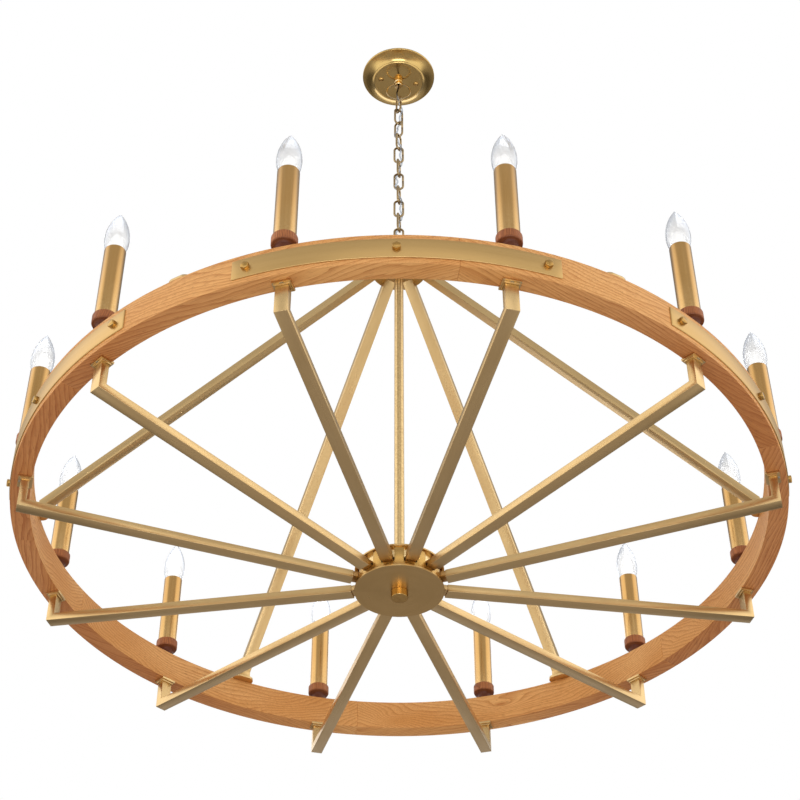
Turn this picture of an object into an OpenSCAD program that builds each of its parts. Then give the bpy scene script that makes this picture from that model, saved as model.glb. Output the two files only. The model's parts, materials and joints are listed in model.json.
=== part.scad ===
// Wagon wheel chandelier: a wooden rim with twelve candle lights, carried by brass spokes on a
// stem, and hung on a chain from a ceiling canopy.
// Millimetres, +Z up. The origin is the middle of the crossbar's upper face, against the ceiling,
// and everything hangs below it. Angles round the wheel are counted from -Y towards +X.

/* [Rim] */
// Outer diameter of the wooden rim
rim_d = 1200; // [1100:10:1300]
// Width of the rim, from inside to outside
rim_w = 30; // [29:1:36]
// Height of the rim
rim_h = 53; // [46:1:64]
// Chamfer along the rim's edges
rim_edge = 1.2; // [0.6:0.1:2]
// Angle from a strap's middle to the joint in the wood under it
rim_joint_turn = 8; // [5:1:12]

/* [Straps] */
// Height of the straps round the outside of the rim
strap_h = 35; // [26:1:42]
// Thickness of the straps
strap_t = 2; // [1.5:0.1:3]
// Half of the angle that one strap covers
strap_turn = 21.5; // [20.5:0.5:24]
// Angle from a strap's middle to its outer bolts
strap_bolt_turn = 19.5; // [17:0.5:20]
// Diameter of a bolt's shank
bolt_d = 6; // [5:0.5:7]
// Width of a bolt's head across its flats
bolt_head_w = 11; // [9:0.5:12]
// Height of a bolt's head
bolt_head_h = 6; // [4:0.5:8]
// Height of the chamfer on a bolt's head
bolt_head_edge = 1; // [0.5:0.1:1.5]
// Length of a bolt in the wood
bolt_grip = 20; // [12:1:24]

/* [Candles] */
// Diameter of the wooden cup under a candle
cup_d = 37; // [35:1:40]
// Height of the wide part of the cup
cup_h = 16; // [14:1:20]
// Diameter of the cup's neck
neck_d = 22; // [18:1:26]
// Height of the cup's neck
neck_h = 14; // [10:1:18]
// Depth that a sleeve stands in its cup
cup_seat = 6; // [4:1:8]
// Outer diameter of the candle sleeve
sleeve_d = 32; // [30:0.5:33]
// Length of the candle sleeve
sleeve_len = 139; // [110:1:170]
// Wall of the candle sleeve
sleeve_wall = 1; // [0.8:0.1:1.2]
// Diameter of the threaded rod that holds a candle down
rod_d = 8; // [7:0.5:8]
// Bore of that rod
rod_bore = 5; // [4:0.5:5.5]
// Diameter of the lamp holder
holder_d = 22; // [18:1:25]
// Height of the lamp holder
holder_h = 38; // [34:1:50]

/* [Bulbs] */
// Widest diameter of the glass
bulb_d = 37; // [35:1:38]
// Height of the bulb above its sleeve
bulb_rise = 81; // [70:1:86]
// Thickness of the glass
glass_wall = 0.9; // [0.7:0.1:1.2]
// Diameter of the bulb's screw cap
cap_d = 12; // [11:0.5:13]
// Height of the screw cap
cap_h = 16; // [12:1:18]
// Depth that the glass stands inside the sleeve
glass_sink = 10; // [8:1:16]

/* [Tubes] */
// Width of the rectangular tube that arms and spokes are made of
tube_w = 19; // [16:0.5:20]
// Thickness of the tube
tube_t = 12.5; // [11:0.5:13.5]
// Wall of the tube
tube_wall = 1.2; // [1:0.1:1.5]

/* [Arms] */
// Distance of the arms inside the middle of the rim
arm_inset = 6; // [5:0.5:7]
// Depth of an arm's corner below the rim
arm_drop = 53; // [44:1:66]
// Depth of an arm's inner end below its corner
arm_fall = 39.8; // [30:0.1:50]
// Width of the collar between an arm and the rim
collar_w = 26.5; // [25:0.5:29]
// Depth of that collar, from inside to outside
collar_t = 22; // [21:0.5:24]
// Height of the collar's plate
collar_plate = 3.5; // [3:0.5:5]
// Height of the collar's lower step
collar_step = 2.5; // [2:0.5:4]

/* [Lower hub] */
// Diameter of the lower hub's two plates
plate_d = 138; // [130:1:150]
// Thickness of each plate
plate_t = 3; // [2:0.5:4]
// Gap between an arm's inner end and the bottom plate's height
plate_gap = 4.6; // [3:0.1:8]
// Gap between the end of an arm's tube and the edge of the plates
arm_gap = 5.5; // [4:0.5:10]
// Outer diameter of the drum between the plates
drum_d = 134; // [128:1:136]
// Height of the drum
drum_h = 34; // [28:1:40]
// Wall of the drum round its slots
drum_wall = 4; // [3:0.5:5]
// Width of the drum's ledge that the arms' tabs lie on
drum_ledge = 16; // [13:1:18]
// Height of the ledge
ledge_h = 7.4; // [6:0.1:9]
// Width of the tab at an arm's inner end
tab_w = 17; // [15:0.5:18]
// Thickness of that tab
tab_t = 9; // [7:0.5:9.5]
// Gap between a tab and each side of its slot
tab_gap = 1.5; // [0.5:0.1:2]
// Diameter of the finial
finial_d = 27; // [20:1:36]
// Height of the finial
finial_h = 13; // [11:1:20]

/* [Stem and upper hub] */
// Height of the upper hub's underside above the rim's underside
hub_rise = 594; // [540:1:650]
// Diameter of the upper hub
hub_d = 100; // [92:1:120]
// Thickness of the upper hub
hub_t = 8; // [6:0.5:10]
// Outer diameter of the stem
stem_d = 16; // [15:0.5:20]
// Wall of the stem
stem_wall = 1.2; // [1:0.1:1.6]
// Diameter of the threaded tube inside the stem
tie_d = 10; // [9:0.5:11]
// Bore of that tube
tie_bore = 7; // [6:0.5:7.5]
// Distance from the axis to the middle of a spoke's upper end
spoke_top_r = 38; // [36:0.5:40]

/* [Spoke feet] */
// Width of a spoke's foot plate
foot_w = 38; // [34:1:44]
// Thickness of the foot plate
foot_t = 4; // [3:0.5:5]
// Height of the upright stub on the foot plate
foot_stub = 12; // [8:1:16]
// Distance that the foot plate reaches inside the rim
foot_reach = 14; // [13:1:16]
// Diameter of the wood screw in each foot
screw_d = 4.5; // [4:0.5:5]
// Length of that screw in the wood
screw_grip = 25; // [15:1:32]

/* [Chain] */
// Thickness of the chain's wire
link_wire = 4; // [3.5:0.1:4.2]
// Outer width of a link
link_w = 20; // [19:0.5:22]
// Outer length of a link
link_len = 45.8; // [42:0.1:50]
// Angle between neighbouring links down the chain
link_cross = 75; // [70:1:90]
// Twist of the top link, which fades out over the next ones
link_twist = -60; // [-60:1:-50]
// Gap between wires that hang in each other
hang_gap = 0.3; // [0.2:0.05:0.5]
// Radius of the eye on the upper hub, to the middle of its wire
eye_r = 9; // [8.5:0.5:11]
// Thickness of that eye's wire
eye_wire = 5; // [4:0.5:6]
// Diameter of the boss under the eye
boss_d = 22; // [21:0.5:26]
// Height of that boss
boss_h = 8; // [7:0.5:12]

/* [Canopy] */
// Diameter of the canopy at the ceiling
canopy_d = 142; // [134:1:160]
// Depth of the canopy
canopy_h = 17; // [15:0.5:19]
// Thickness of the canopy's sheet
canopy_wall = 1.2; // [1:0.1:1.5]
// Diameter of the canopy's flat face
face_d = 95; // [92:1:100]
// Turn of the crossbar and its screws from the X axis
canopy_turn = 10; // [0:1:30]
// Distance between the two canopy screws
canopy_screw_gap = 69.85; // [66:0.05:74]
// Distance between the two holes for the ceiling box's screws
box_screw_gap = 88.9; // [86:0.1:100]
// Diameter of those holes
box_hole_d = 5.5; // [4.5:0.5:6]
// Width of the crossbar
crossbar_w = 20; // [16:1:26]
// Thickness of the crossbar
crossbar_t = 2; // [1.5:0.1:3]
// Diameter of the collar under the canopy
neck_collar_d = 17; // [16.5:0.5:20]
// Height of that collar
neck_collar_h = 14; // [13:0.5:18]
// Distance from the canopy's face to the middle of the ring's hole
ring_hole_drop = 8; // [7.5:0.1:9]
// Radius of the ring in the collar, to the middle of its wire
ring_r = 23; // [20:0.5:27]
// Thickness of the ring's wire
ring_wire = 3; // [2.5:0.1:3]

/* [Cord] */
// Diameter of the supply cord
cord_d = 3.2; // [2.8:0.1:3.3]

/* [Hidden] */
$fn = 96;
candles = 12;
straps = 6;
links = 12;
candle_step = 360 / candles;
strap_step = 360 / straps;
candle_angles = [for (i = [0:candles - 1]) (i + 0.5) * candle_step];
strap_angles = [for (i = [0:straps - 1]) i * strap_step];
spoke_angles = [for (i = [0:straps - 1]) (i + 0.5) * strap_step];
cut = 1;
thread_gap = 0.05;
bore_gap = 0.1;
loose_gap = 0.2;
rim_fn = 360;

// Levels below the ceiling
face_z = -canopy_h;
face_recess = 1;
ring_hole_z = face_z + face_recess - ring_hole_drop;
ring_low_z = ring_hole_z - 2 * ring_r;
link_pitch = link_len - 2 * link_wire - hang_gap;
link_r = (link_w - link_wire) / 2;
eye_top_z = link_z(links) - (link_len - link_wire) + (link_wire + eye_wire) / 2 + hang_gap;
boss_top_z = eye_top_z - 2 * eye_r;
hub_top_z = boss_top_z - boss_h;
rim_z = hub_top_z - hub_t - hub_rise;

// Radii and levels of the wheel, with the rim's underside at 0
rim_r = rim_d / 2;
rim_mid = rim_r - rim_w / 2;
cup_top = rim_h + neck_h + cup_h;
sleeve_low = cup_top - cup_seat;
sleeve_top = sleeve_low + sleeve_len;
glass_low = sleeve_top - glass_sink;
holder_top = glass_low - 1;
holder_low = holder_top - holder_h;
arm_r = rim_mid - arm_inset;
arm_end_r = plate_d / 2 + arm_gap;
arm_end_z = -arm_drop - arm_fall;
plate_low = arm_end_z - plate_gap - plate_t;
drum_low = plate_low + plate_t;
drum_top = drum_low + drum_h;
tab_z = drum_low + ledge_h;
foot_r = rim_r - rim_w - foot_reach + 2 + tube_t / 2;
foot_low = rim_h;
foot_bend = foot_low + foot_t + foot_stub;
foot_screw_r = rim_r - 10;

// Height of the middle of a link's top wire
function link_z(i) = ring_low_z + (ring_wire + link_wire) / 2 + hang_gap - (i - 1) * link_pitch;

// Direction of a link's plane: odd links face forward, even ones cross them
function link_turn(i) = (i % 2 == 1 ? 0 : link_cross) + link_twist * max(0, 1 - (i - 1) / 4);

function two(i) = i < 10 ? str("0", i) : str(i);

// Puts its children, made at -Y, at each of the angles
module around(angles) {
    for (a = angles) rotate([0, 0, a]) children();
}

// Stands a profile drawn as (radius, height) up in the plane towards -Y, w wide
module radial(w) {
    rotate([90, 0, -90]) linear_extrude(w, center = true) children();
}

// Turns a profile drawn as (radius, height) round the axis
module turned() {
    rotate_extrude() children();
}

// A tube of radius r, with a bore, from height a to height b
module pipe(r, bore, a, b) {
    difference() {
        translate([0, 0, a]) cylinder(r = r, h = b - a);
        translate([0, 0, a - cut]) cylinder(r = bore, h = b - a + 2 * cut);
    }
}

// ---------------------------------------------------------------- ceiling parts

crossbar_len = box_screw_gap + crossbar_w;

module crossbar() {
    color("silver")
    rotate([0, 0, canopy_turn])
    translate([0, 0, -crossbar_t])
    difference() {
        union() {
            translate([-box_screw_gap / 2, -crossbar_w / 2, 0])
                cube([box_screw_gap, crossbar_w, crossbar_t]);
            for (s = [-1, 1]) translate([s * box_screw_gap / 2, 0, 0])
                cylinder(d = crossbar_w, h = crossbar_t);
        }
        for (s = [-1, 1]) {
            translate([s * box_screw_gap / 2, 0, -cut])
                cylinder(d = box_hole_d, h = crossbar_t + 2 * cut);
            translate([s * canopy_screw_gap / 2, 0, -cut])
                cylinder(r = canopy_screw_r + thread_gap, h = crossbar_t + 2 * cut);
        }
        translate([0, 0, -cut]) cylinder(r = tie_d / 2 + thread_gap, h = crossbar_t + 2 * cut);
    }
}

// The nipple and the nut under the crossbar carry the whole weight
nipple_low = ring_hole_z + 5.5;
nut_h = 5;

module nipple() {
    color("goldenrod") pipe(tie_d / 2, tie_bore / 2, nipple_low, 0);
}

module nipple_nut() {
    color("silver")
    difference() {
        translate([0, 0, -crossbar_t - nut_h]) cylinder(d = 1.7 * tie_d, h = nut_h, $fn = 6);
        translate([0, 0, -crossbar_t - nut_h - cut])
            cylinder(r = tie_d / 2 + thread_gap, h = nut_h + 2 * cut);
    }
}

// Half section of the canopy, k inside its outer surface: a rim, a hollow sweep and a flat face
function canopy_sweep(k) = let (
        lip = 4,
        a = canopy_d / 2 - face_d / 2,
        b = canopy_h - lip
    ) [for (t = [0:10:90])
        let (r = canopy_d / 2 - (a + k) * sin(t), z = face_z + (b + k) * cos(t))
        if (r < canopy_d / 2 - k - 0.01 && z > face_z + k + 0.01) [r, z]];

module canopy_section(k) {
    polygon(concat(
        [[0, k > 0 ? cut : 0], [canopy_d / 2 - k, k > 0 ? cut : 0], [canopy_d / 2 - k, -4 + k]],
        canopy_sweep(k),
        [[face_d / 2 - k, face_z + k], [0, face_z + k]]
    ));
}

canopy_screw_r = 2;

module canopy() {
    color("darkgoldenrod")
    difference() {
        turned() canopy_section(0);
        turned() canopy_section(canopy_wall + face_recess);
        // the face lies a little inside its raised edge
        translate([0, 0, face_z - cut]) cylinder(d = face_d - 5, h = cut + face_recess);
        translate([0, 0, face_z - cut]) cylinder(r = tie_d / 2 + loose_gap, h = canopy_h);
        rotate([0, 0, canopy_turn])
        for (s = [-1, 1]) translate([s * canopy_screw_gap / 2, 0, face_z - cut])
            cylinder(r = canopy_screw_r + loose_gap, h = canopy_h);
    }
}

module canopy_screws() {
    head_r = 5.3;
    color("darkgoldenrod")
    rotate([0, 0, canopy_turn])
    for (s = [-1, 1]) translate([s * canopy_screw_gap / 2, 0, 0]) {
        translate([0, 0, face_z + face_recess])
            cylinder(r = canopy_screw_r, h = -face_z - face_recess);
        translate([0, 0, face_z + face_recess])
            intersection() {
                translate([0, 0, 2.8]) sphere(r = 6.2);
                translate([0, 0, -4]) cylinder(r = head_r, h = 4);
            }
    }
}

// The collar screws up against the canopy's face. The ring passes through it sideways, and the
// supply cord comes down through a hole in front of the ring.
cord_hole_y = -3.6;

module canopy_collar() {
    top = face_z + face_recess;
    low = top - neck_collar_h;
    r = neck_collar_d / 2;
    waist = r - 1.5;
    color("goldenrod")
    difference() {
        turned() polygon([
            [0, top], [r, top], [r, top - 3.5], [waist, top - 5], [waist, low + 4],
            [r - 0.5, low + 2.8], [r - 0.5, low + 0.8], [waist, low], [0, low]
        ]);
        translate([0, 0, ring_hole_z + ring_wire / 2])
            cylinder(r = tie_d / 2 + thread_gap, h = neck_collar_h);
        translate([0, cord_hole_y, top - neck_collar_h - cut])
            cylinder(r = 2.2, h = nipple_low - 1 - (top - neck_collar_h - cut));
        translate([0, 0, ring_hole_z - ring_r]) rotate([90, 0, 0])
            rotate_extrude() translate([ring_r, 0]) circle(r = ring_wire / 2 + 0.6);
    }
}

module suspension_ring() {
    color("goldenrod")
    translate([0, 0, ring_hole_z - ring_r]) rotate([90, 0, 0])
        rotate_extrude() translate([ring_r, 0]) circle(d = ring_wire);
}

// ---------------------------------------------------------------- chain

// A link hangs down from the middle of its top wire, in the XZ plane
module link() {
    straight = link_len - link_wire - 2 * link_r;
    for (end = [0, 1])
        translate([0, 0, -link_r - end * straight])
        rotate([90, 0, 0]) rotate([0, 0, end * 180])
        rotate_extrude(angle = 180) translate([link_r, 0]) circle(d = link_wire);
    for (s = [-1, 1])
        translate([s * link_r, 0, -link_r - straight]) cylinder(d = link_wire, h = straight);
}

module chain_link(i) {
    color("peru") translate([0, 0, link_z(i)]) rotate([0, 0, link_turn(i)]) link();
}

// ---------------------------------------------------------------- supply cord

// The cord comes out of the collar and is woven down the chain: it passes through each link and
// round the next joint in it, so its path is a spiral that closes in at the middle of each link.
cord_mid_r = 2;
cord_joint_r = 7.5;
cord_steps = 5;
cord_foot_y = -7.8;

// Unwound direction in which the cord passes through link i, where link 0 is the ring and the
// link after the last one is the eye on the hub
function plane_turn(i) = (i == 0 || i > links) ? 0 : link_turn(i);
function step_turn(i) = (plane_turn(i + 1) - plane_turn(i) + 360) % 180;
function pass_turn(i) = i == 0 ? -180 : pass_turn(i - 1) + step_turn(i - 1);

// Point of the path at s: whole numbers are the middles of the links
function weave_z(s) = link_z(1) - (link_len - link_wire) / 2 - (s - 1) * link_pitch;
function weave(s) = let (
        i = floor(s),
        t = s - i,
        turn = pass_turn(i) + t * step_turn(i),
        r = cord_mid_r + (cord_joint_r - cord_mid_r) * pow(sin(180 * t), 2)
    ) [r * cos(turn), r * sin(turn), weave_z(s)];

cord_start = [
    [0, 0, -1], [0, 0, -6], [0, -0.5, -11], [0, -1, -15], [0, -1.5, -18.6], [0, -2.6, -21],
    [0, -3.4, -23.2], [0, -3.5, -26], [0, -3.6, -31], [0, -4, -37], [-1, -5, -45], [-2, -6, -53],
    [-3.2, -6.8, -60]
];
cord_weave = [for (k = [0:cord_steps * links - 1]) weave(0.5 + (k + 0.5) / cord_steps)];
cord_end = [
    [2.5, cord_foot_y + 0.4, boss_top_z + 12], [0.6, cord_foot_y, boss_top_z + 6],
    [0, cord_foot_y, boss_top_z], [0, cord_foot_y, boss_top_z - 5]
];
cord_route = concat(cord_start, cord_weave, cord_end);

function unit(v) = v / norm(v);
function tangent(p, i) = i == 0 ? unit(p[1] - p[0])
    : i == len(p) - 1 ? unit(p[i] - p[i - 1])
    : unit(unit(p[i + 1] - p[i]) + unit(p[i] - p[i - 1]));

// A round tube with n sides swept along the points p
module sweep(p, r, n) {
    rings = [for (i = [0:len(p) - 1])
        let (t = tangent(p, i), u = unit(cross(t, [0, 1, 0])), v = cross(t, u))
        for (k = [0:n - 1]) p[i] + r * (cos(360 * k / n) * u + sin(360 * k / n) * v)];
    m = len(p);
    sides = [for (i = [0:m - 2], k = [0:n - 1])
        let (a = i * n + k, b = i * n + (k + 1) % n)
        each [[a, b, b + n], [a, b + n, a + n]]];
    caps = concat(
        [for (k = [1:n - 2]) [0, k + 1, k]],
        [for (k = [1:n - 2]) [(m - 1) * n, (m - 1) * n + k, (m - 1) * n + k + 1]]
    );
    polyhedron(rings, concat(sides, caps));
}

module supply_cord() {
    color("gainsboro") sweep(cord_route, cord_d / 2, 8);
}

// ---------------------------------------------------------------- upper hub and stem

module hub_loop() {
    color("goldenrod")
    difference() {
        union() {
            translate([0, 0, eye_top_z - eye_r]) rotate([90, 0, 0])
                rotate_extrude() translate([eye_r, 0]) circle(d = eye_wire);
            translate([0, 0, hub_top_z]) cylinder(d = boss_d, h = boss_h);
        }
        translate([0, 0, hub_top_z - cut]) cylinder(r = tie_d / 2 + thread_gap, h = boss_h - 2 + cut);
        translate([0, cord_foot_y, boss_top_z - 6])
            cylinder(r = cord_d / 2 + loose_gap, h = 6 + cut);
    }
}

hub_screw_d = 5;

module upper_hub() {
    edge = 1.5;
    low = hub_top_z - hub_t;
    color("darkgoldenrod")
    difference() {
        turned() polygon([
            [0, low], [hub_d / 2 - edge / 2, low], [hub_d / 2, low + edge / 2],
            [hub_d / 2, hub_top_z - edge], [hub_d / 2 - edge, hub_top_z], [0, hub_top_z]
        ]);
        translate([0, 0, low - cut]) cylinder(r = tie_d / 2 + loose_gap, h = hub_t + 2 * cut);
        around(spoke_angles) translate([0, -spoke_top_r, low - cut])
            cylinder(r = hub_screw_d / 2 + loose_gap, h = hub_t + 2 * cut);
    }
}

spoke_cap = 3;

module hub_screws() {
    color("goldenrod")
    around(spoke_angles) translate([0, -spoke_top_r, hub_top_z]) {
        translate([0, 0, -hub_t - spoke_cap - 2]) cylinder(d = hub_screw_d, h = hub_t + spoke_cap + 2);
        cylinder(d1 = 9, d2 = 7, h = 3);
    }
}

module stem() {
    color("goldenrod")
        pipe(stem_d / 2, stem_d / 2 - stem_wall, rim_z + drum_top + plate_t, rim_z + hub_rise);
}

// The threaded tube runs from the loop's boss down to the finial and clamps both hubs
module tie_tube() {
    color("silver")
        pipe(tie_d / 2, tie_bore / 2, rim_z + plate_low - finial_h + 4, hub_top_z + boss_h - 2);
}

// ---------------------------------------------------------------- upper spokes

// Radius of a line that starts at p, goes along d and is moved sideways by k, at height z, and
// its height at radius r
function side_r(p, d, k, z) = p[0] + k * d[1] + (z - p[1] + k * d[0]) * d[0] / d[1];
function side_z(p, d, k, r) = p[1] - k * d[0] + (r - p[0] - k * d[1]) * d[1] / d[0];

// Section of a spoke with half thickness k, between the heights a and b
module spoke_section(k, a, b) {
    bend = [foot_r, foot_bend];
    d = unit([spoke_top_r - foot_r, hub_rise - foot_bend]);
    polygon([
        [foot_r + k, a], [foot_r + k, side_z(bend, d, k, foot_r + k)],
        [side_r(bend, d, k, b), b], [side_r(bend, d, -k, b), b],
        [foot_r - k, side_z(bend, d, -k, foot_r - k)], [foot_r - k, a]
    ]);
}

// The foot plate lies on the rim and reaches a little inside it, with rounded ends
module foot_plate() {
    inner = rim_r - rim_w - foot_reach;
    outer = rim_r;
    corner = 12;
    difference() {
        translate([0, 0, foot_low]) linear_extrude(foot_t) {
            translate([-foot_w / 2, -outer + corner])
                square([foot_w, outer - inner - 2 * corner]);
            translate([-foot_w / 2 + corner, -outer])
                square([foot_w - 2 * corner, outer - inner]);
            for (x = [-1, 1], y = [-inner - corner, -outer + corner])
                translate([x * (foot_w / 2 - corner), y]) circle(r = corner);
        }
        translate([0, -foot_screw_r, foot_low - cut])
            cylinder(r = screw_d / 2 + loose_gap, h = foot_t + 2 * cut);
    }
}

module upper_spokes() {
    floor_z = foot_low + foot_t;
    color("goldenrod")
    translate([0, 0, rim_z]) around(spoke_angles) {
        difference() {
            radial(tube_w) spoke_section(tube_t / 2, foot_low + foot_t - 0.5, hub_rise);
            radial(tube_w - 2 * tube_wall)
                spoke_section(tube_t / 2 - tube_wall, floor_z, hub_rise - spoke_cap);
            translate([0, -spoke_top_r, hub_rise - spoke_cap - cut])
                cylinder(r = hub_screw_d / 2 + thread_gap, h = spoke_cap + 2 * cut);
        }
        foot_plate();
    }
}

module foot_screws() {
    color("goldenrod")
    translate([0, 0, rim_z]) around(spoke_angles) translate([0, -foot_screw_r, foot_low]) {
        translate([0, 0, -screw_grip]) cylinder(d = screw_d, h = screw_grip + foot_t);
        translate([0, 0, foot_t]) cylinder(r1 = screw_d, r2 = 0.6 * screw_d, h = 2.4);
    }
}

// ---------------------------------------------------------------- lower hub

module hub_plate(low) {
    edge = 0.6;
    difference() {
        turned() polygon([
            [0, low], [plate_d / 2 - edge, low], [plate_d / 2, low + edge],
            [plate_d / 2, low + plate_t - edge], [plate_d / 2 - edge, low + plate_t],
            [0, low + plate_t]
        ]);
        translate([0, 0, low - cut]) cylinder(r = tie_d / 2 + loose_gap, h = plate_t + 2 * cut);
    }
}

module hub_top_plate() {
    color("darkgoldenrod") translate([0, 0, rim_z]) hub_plate(drum_top);
}

module hub_bottom_plate() {
    color("darkgoldenrod") translate([0, 0, rim_z]) hub_plate(plate_low);
}

// A ring with a ledge for the arms' tabs and a slot for each of them in the wall above it
module hub_drum() {
    color("gold")
    translate([0, 0, rim_z])
    difference() {
        translate([0, 0, drum_low]) cylinder(d = drum_d, h = drum_h);
        translate([0, 0, drum_low - cut])
            cylinder(r = drum_d / 2 - drum_ledge, h = drum_h + 2 * cut);
        translate([0, 0, tab_z]) cylinder(r = drum_d / 2 - drum_wall, h = drum_h);
        around(candle_angles)
            translate([-tab_w / 2 - tab_gap, -drum_d / 2 - cut, tab_z])
            cube([tab_w + 2 * tab_gap, drum_wall + 2 * cut, drum_h]);
    }
}

// The spacer presses the tabs down on the drum's ledge
module hub_spacer() {
    color("silver")
        pipe(drum_d / 2 - drum_wall - loose_gap, drum_d / 2 - drum_ledge,
             rim_z + tab_z + tab_t, rim_z + drum_top);
}

module finial() {
    top = plate_low;
    r = finial_d / 2;
    color("gold")
    translate([0, 0, rim_z])
    difference() {
        turned() polygon([
            [0, top], [r, top], [r, top - finial_h + 0.8], [r - 0.8, top - finial_h],
            [0, top - finial_h]
        ]);
        translate([0, 0, top - finial_h + 4]) cylinder(r = tie_d / 2 + thread_gap, h = finial_h);
    }
}

// ---------------------------------------------------------------- arms

// Section of an arm, k inside its outer surface: an upright stub under the rim, a mitred corner
// and a slope down to the hub
module arm_section(k, top, end) {
    slope = arm_fall / (arm_r + tube_t / 2 - arm_end_r);
    rise = norm([1, slope]);
    outer = arm_r + tube_t / 2 - k;
    inner = arm_r - tube_t / 2 + k;
    low = -arm_drop + k * rise;
    high = -arm_drop + (tube_t - k) * rise;
    function fall(r) = (arm_r + tube_t / 2 - r) * slope;
    polygon([
        [outer, top], [outer, low - fall(outer)], [end, low - fall(end)],
        [end, high - fall(end)], [inner, high - fall(inner)], [inner, top]
    ]);
}

module arms() {
    top = -collar_plate;
    tab_in = drum_d / 2 - drum_ledge + 2;
    color("goldenrod")
    translate([0, 0, rim_z]) around(candle_angles) {
        difference() {
            radial(tube_w) arm_section(0, top, arm_end_r);
            radial(tube_w - 2 * tube_wall) arm_section(tube_wall, top + cut, arm_end_r + 6);
        }
        translate([-tab_w / 2, -arm_end_r - 3, tab_z]) cube([tab_w, arm_end_r + 3 - tab_in, tab_t]);
    }
}

// A square plate with a smaller step under it, in which the stub of the arm stands
module arm_collars() {
    step_w = tube_w + 3.5;
    step_t = tube_t + 3.5;
    h = collar_plate + collar_step;
    color("darkgoldenrod")
    translate([0, 0, rim_z]) around(candle_angles)
    difference() {
        union() {
            translate([-collar_w / 2, -arm_r - collar_t / 2, -collar_plate])
                cube([collar_w, collar_t, collar_plate]);
            translate([-step_w / 2, -arm_r - step_t / 2, -h]) cube([step_w, step_t, h]);
        }
        translate([-tube_w / 2 - bore_gap, -arm_r - tube_t / 2 - bore_gap, -h - cut])
            cube([tube_w + 2 * bore_gap, tube_t + 2 * bore_gap, collar_step + cut]);
        translate([0, -rim_mid, -collar_plate])
            cylinder(r = rod_d / 2 + thread_gap, h = collar_plate + cut);
    }
}

// ---------------------------------------------------------------- candles

module at_candles() {
    translate([0, 0, rim_z]) around(candle_angles) translate([0, -rim_mid, 0]) children();
}

module candle_rods() {
    color("silver") at_candles()
        pipe(rod_d / 2, rod_bore / 2, -collar_plate + 0.5, holder_low + 6);
}

module cup_nuts() {
    h = 4;
    color("silver") at_candles()
    difference() {
        translate([0, 0, sleeve_low]) cylinder(d = 1.7 * rod_d, h = h, $fn = 6);
        translate([0, 0, sleeve_low - cut]) cylinder(r = rod_d / 2 + thread_gap, h = h + 2 * cut);
    }
}

// A turned wooden cup: a neck, a curve outwards and a wide rounded top with a seat in it
module candle_cups() {
    r = cup_d / 2;
    n = neck_d / 2;
    base = rim_h + neck_h;
    flare = [for (t = [0:15:90]) [n + (r - n - 1.5) * (1 - cos(t)), base - 5 + 5 * sin(t)]];
    shoulder = [for (t = [0:15:90]) [r - 3 + 3 * sin(t), base + 3 - 3 * cos(t)]];
    color("sienna") at_candles()
    difference() {
        turned() polygon(concat(
            [[0, rim_h], [n, rim_h]], flare, shoulder,
            [[r, cup_top - 1.5], [r - 1.5, cup_top], [0, cup_top]]
        ));
        translate([0, 0, sleeve_low]) cylinder(r = sleeve_d / 2 + bore_gap, h = cup_seat + cut);
        translate([0, 0, rim_h - cut]) cylinder(r = rod_d / 2 + bore_gap, h = neck_h + cup_h);
    }
}

module candle_sleeves() {
    color("darkgoldenrod") at_candles()
        pipe(sleeve_d / 2, sleeve_d / 2 - sleeve_wall, sleeve_low, sleeve_top);
}

module lamp_holders() {
    color("ivory") at_candles()
    difference() {
        union() {
            translate([0, 0, holder_low]) cylinder(d = holder_d - 6, h = 8);
            translate([0, 0, holder_low + 8]) cylinder(d = holder_d, h = holder_h - 8);
        }
        translate([0, 0, glass_low - cap_h - hang_gap])
            cylinder(r = cap_d / 2 + bore_gap, h = cap_h + cut);
        translate([0, 0, holder_low - cut]) cylinder(r = rod_d / 2 + thread_gap, h = 7 + cut);
    }
}

// Radius of the glass at height z above the sleeve: a round belly and a drawn-out tip
function glass_r(z) = let (belly = 0.3 * bulb_rise, r = bulb_d / 2)
    z < belly ? r * sqrt(1 - pow(0.7 * (1 - z / belly), 2))
    : r * (1 - pow((z - belly) / (bulb_rise - belly), 2.1));

module glass_section(k) {
    neck = cap_d / 2 + 0.5 - k;
    low = glass_low - sleeve_top - (k > 0 ? cut : 0);
    polygon(concat(
        [[0, low], [neck, low], [neck, glass_low - sleeve_top + 3]],
        [for (u = [each [0:0.04:0.96], 0.985])
            let (z = u * bulb_rise, r = glass_r(z) - k) if (r > 0.4) [r, z]],
        [[0, bulb_rise - 0.3 - 1.6 * k]]
    ));
}

module bulb(i) {
    color("white")
    translate([0, 0, rim_z]) rotate([0, 0, candle_angles[i - 1]]) translate([0, -rim_mid, 0]) {
        difference() {
            translate([0, 0, sleeve_top]) turned() glass_section(0);
            translate([0, 0, sleeve_top]) turned() glass_section(glass_wall);
        }
        translate([0, 0, glass_low - cap_h]) cylinder(d = cap_d, h = cap_h);
    }
}

// ---------------------------------------------------------------- rim

module rim_section() {
    in_r = rim_r - rim_w;
    e = rim_edge;
    polygon([
        [in_r + e, 0], [rim_r - e, 0], [rim_r, e], [rim_r, rim_h - e], [rim_r - e, rim_h],
        [in_r + e, rim_h], [in_r, rim_h - e], [in_r, e]
    ]);
}

bolt_angles = [for (a = strap_angles, s = [-1, 0, 1]) a + s * strap_bolt_turn];

// A radial hole or shank of radius r between two radii, in the middle of the rim's height
module radial_rod(r, from, to, sides = 48) {
    translate([0, -from, rim_h / 2]) rotate([90, 0, 0]) cylinder(r = r, h = to - from, $fn = sides);
}

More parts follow.
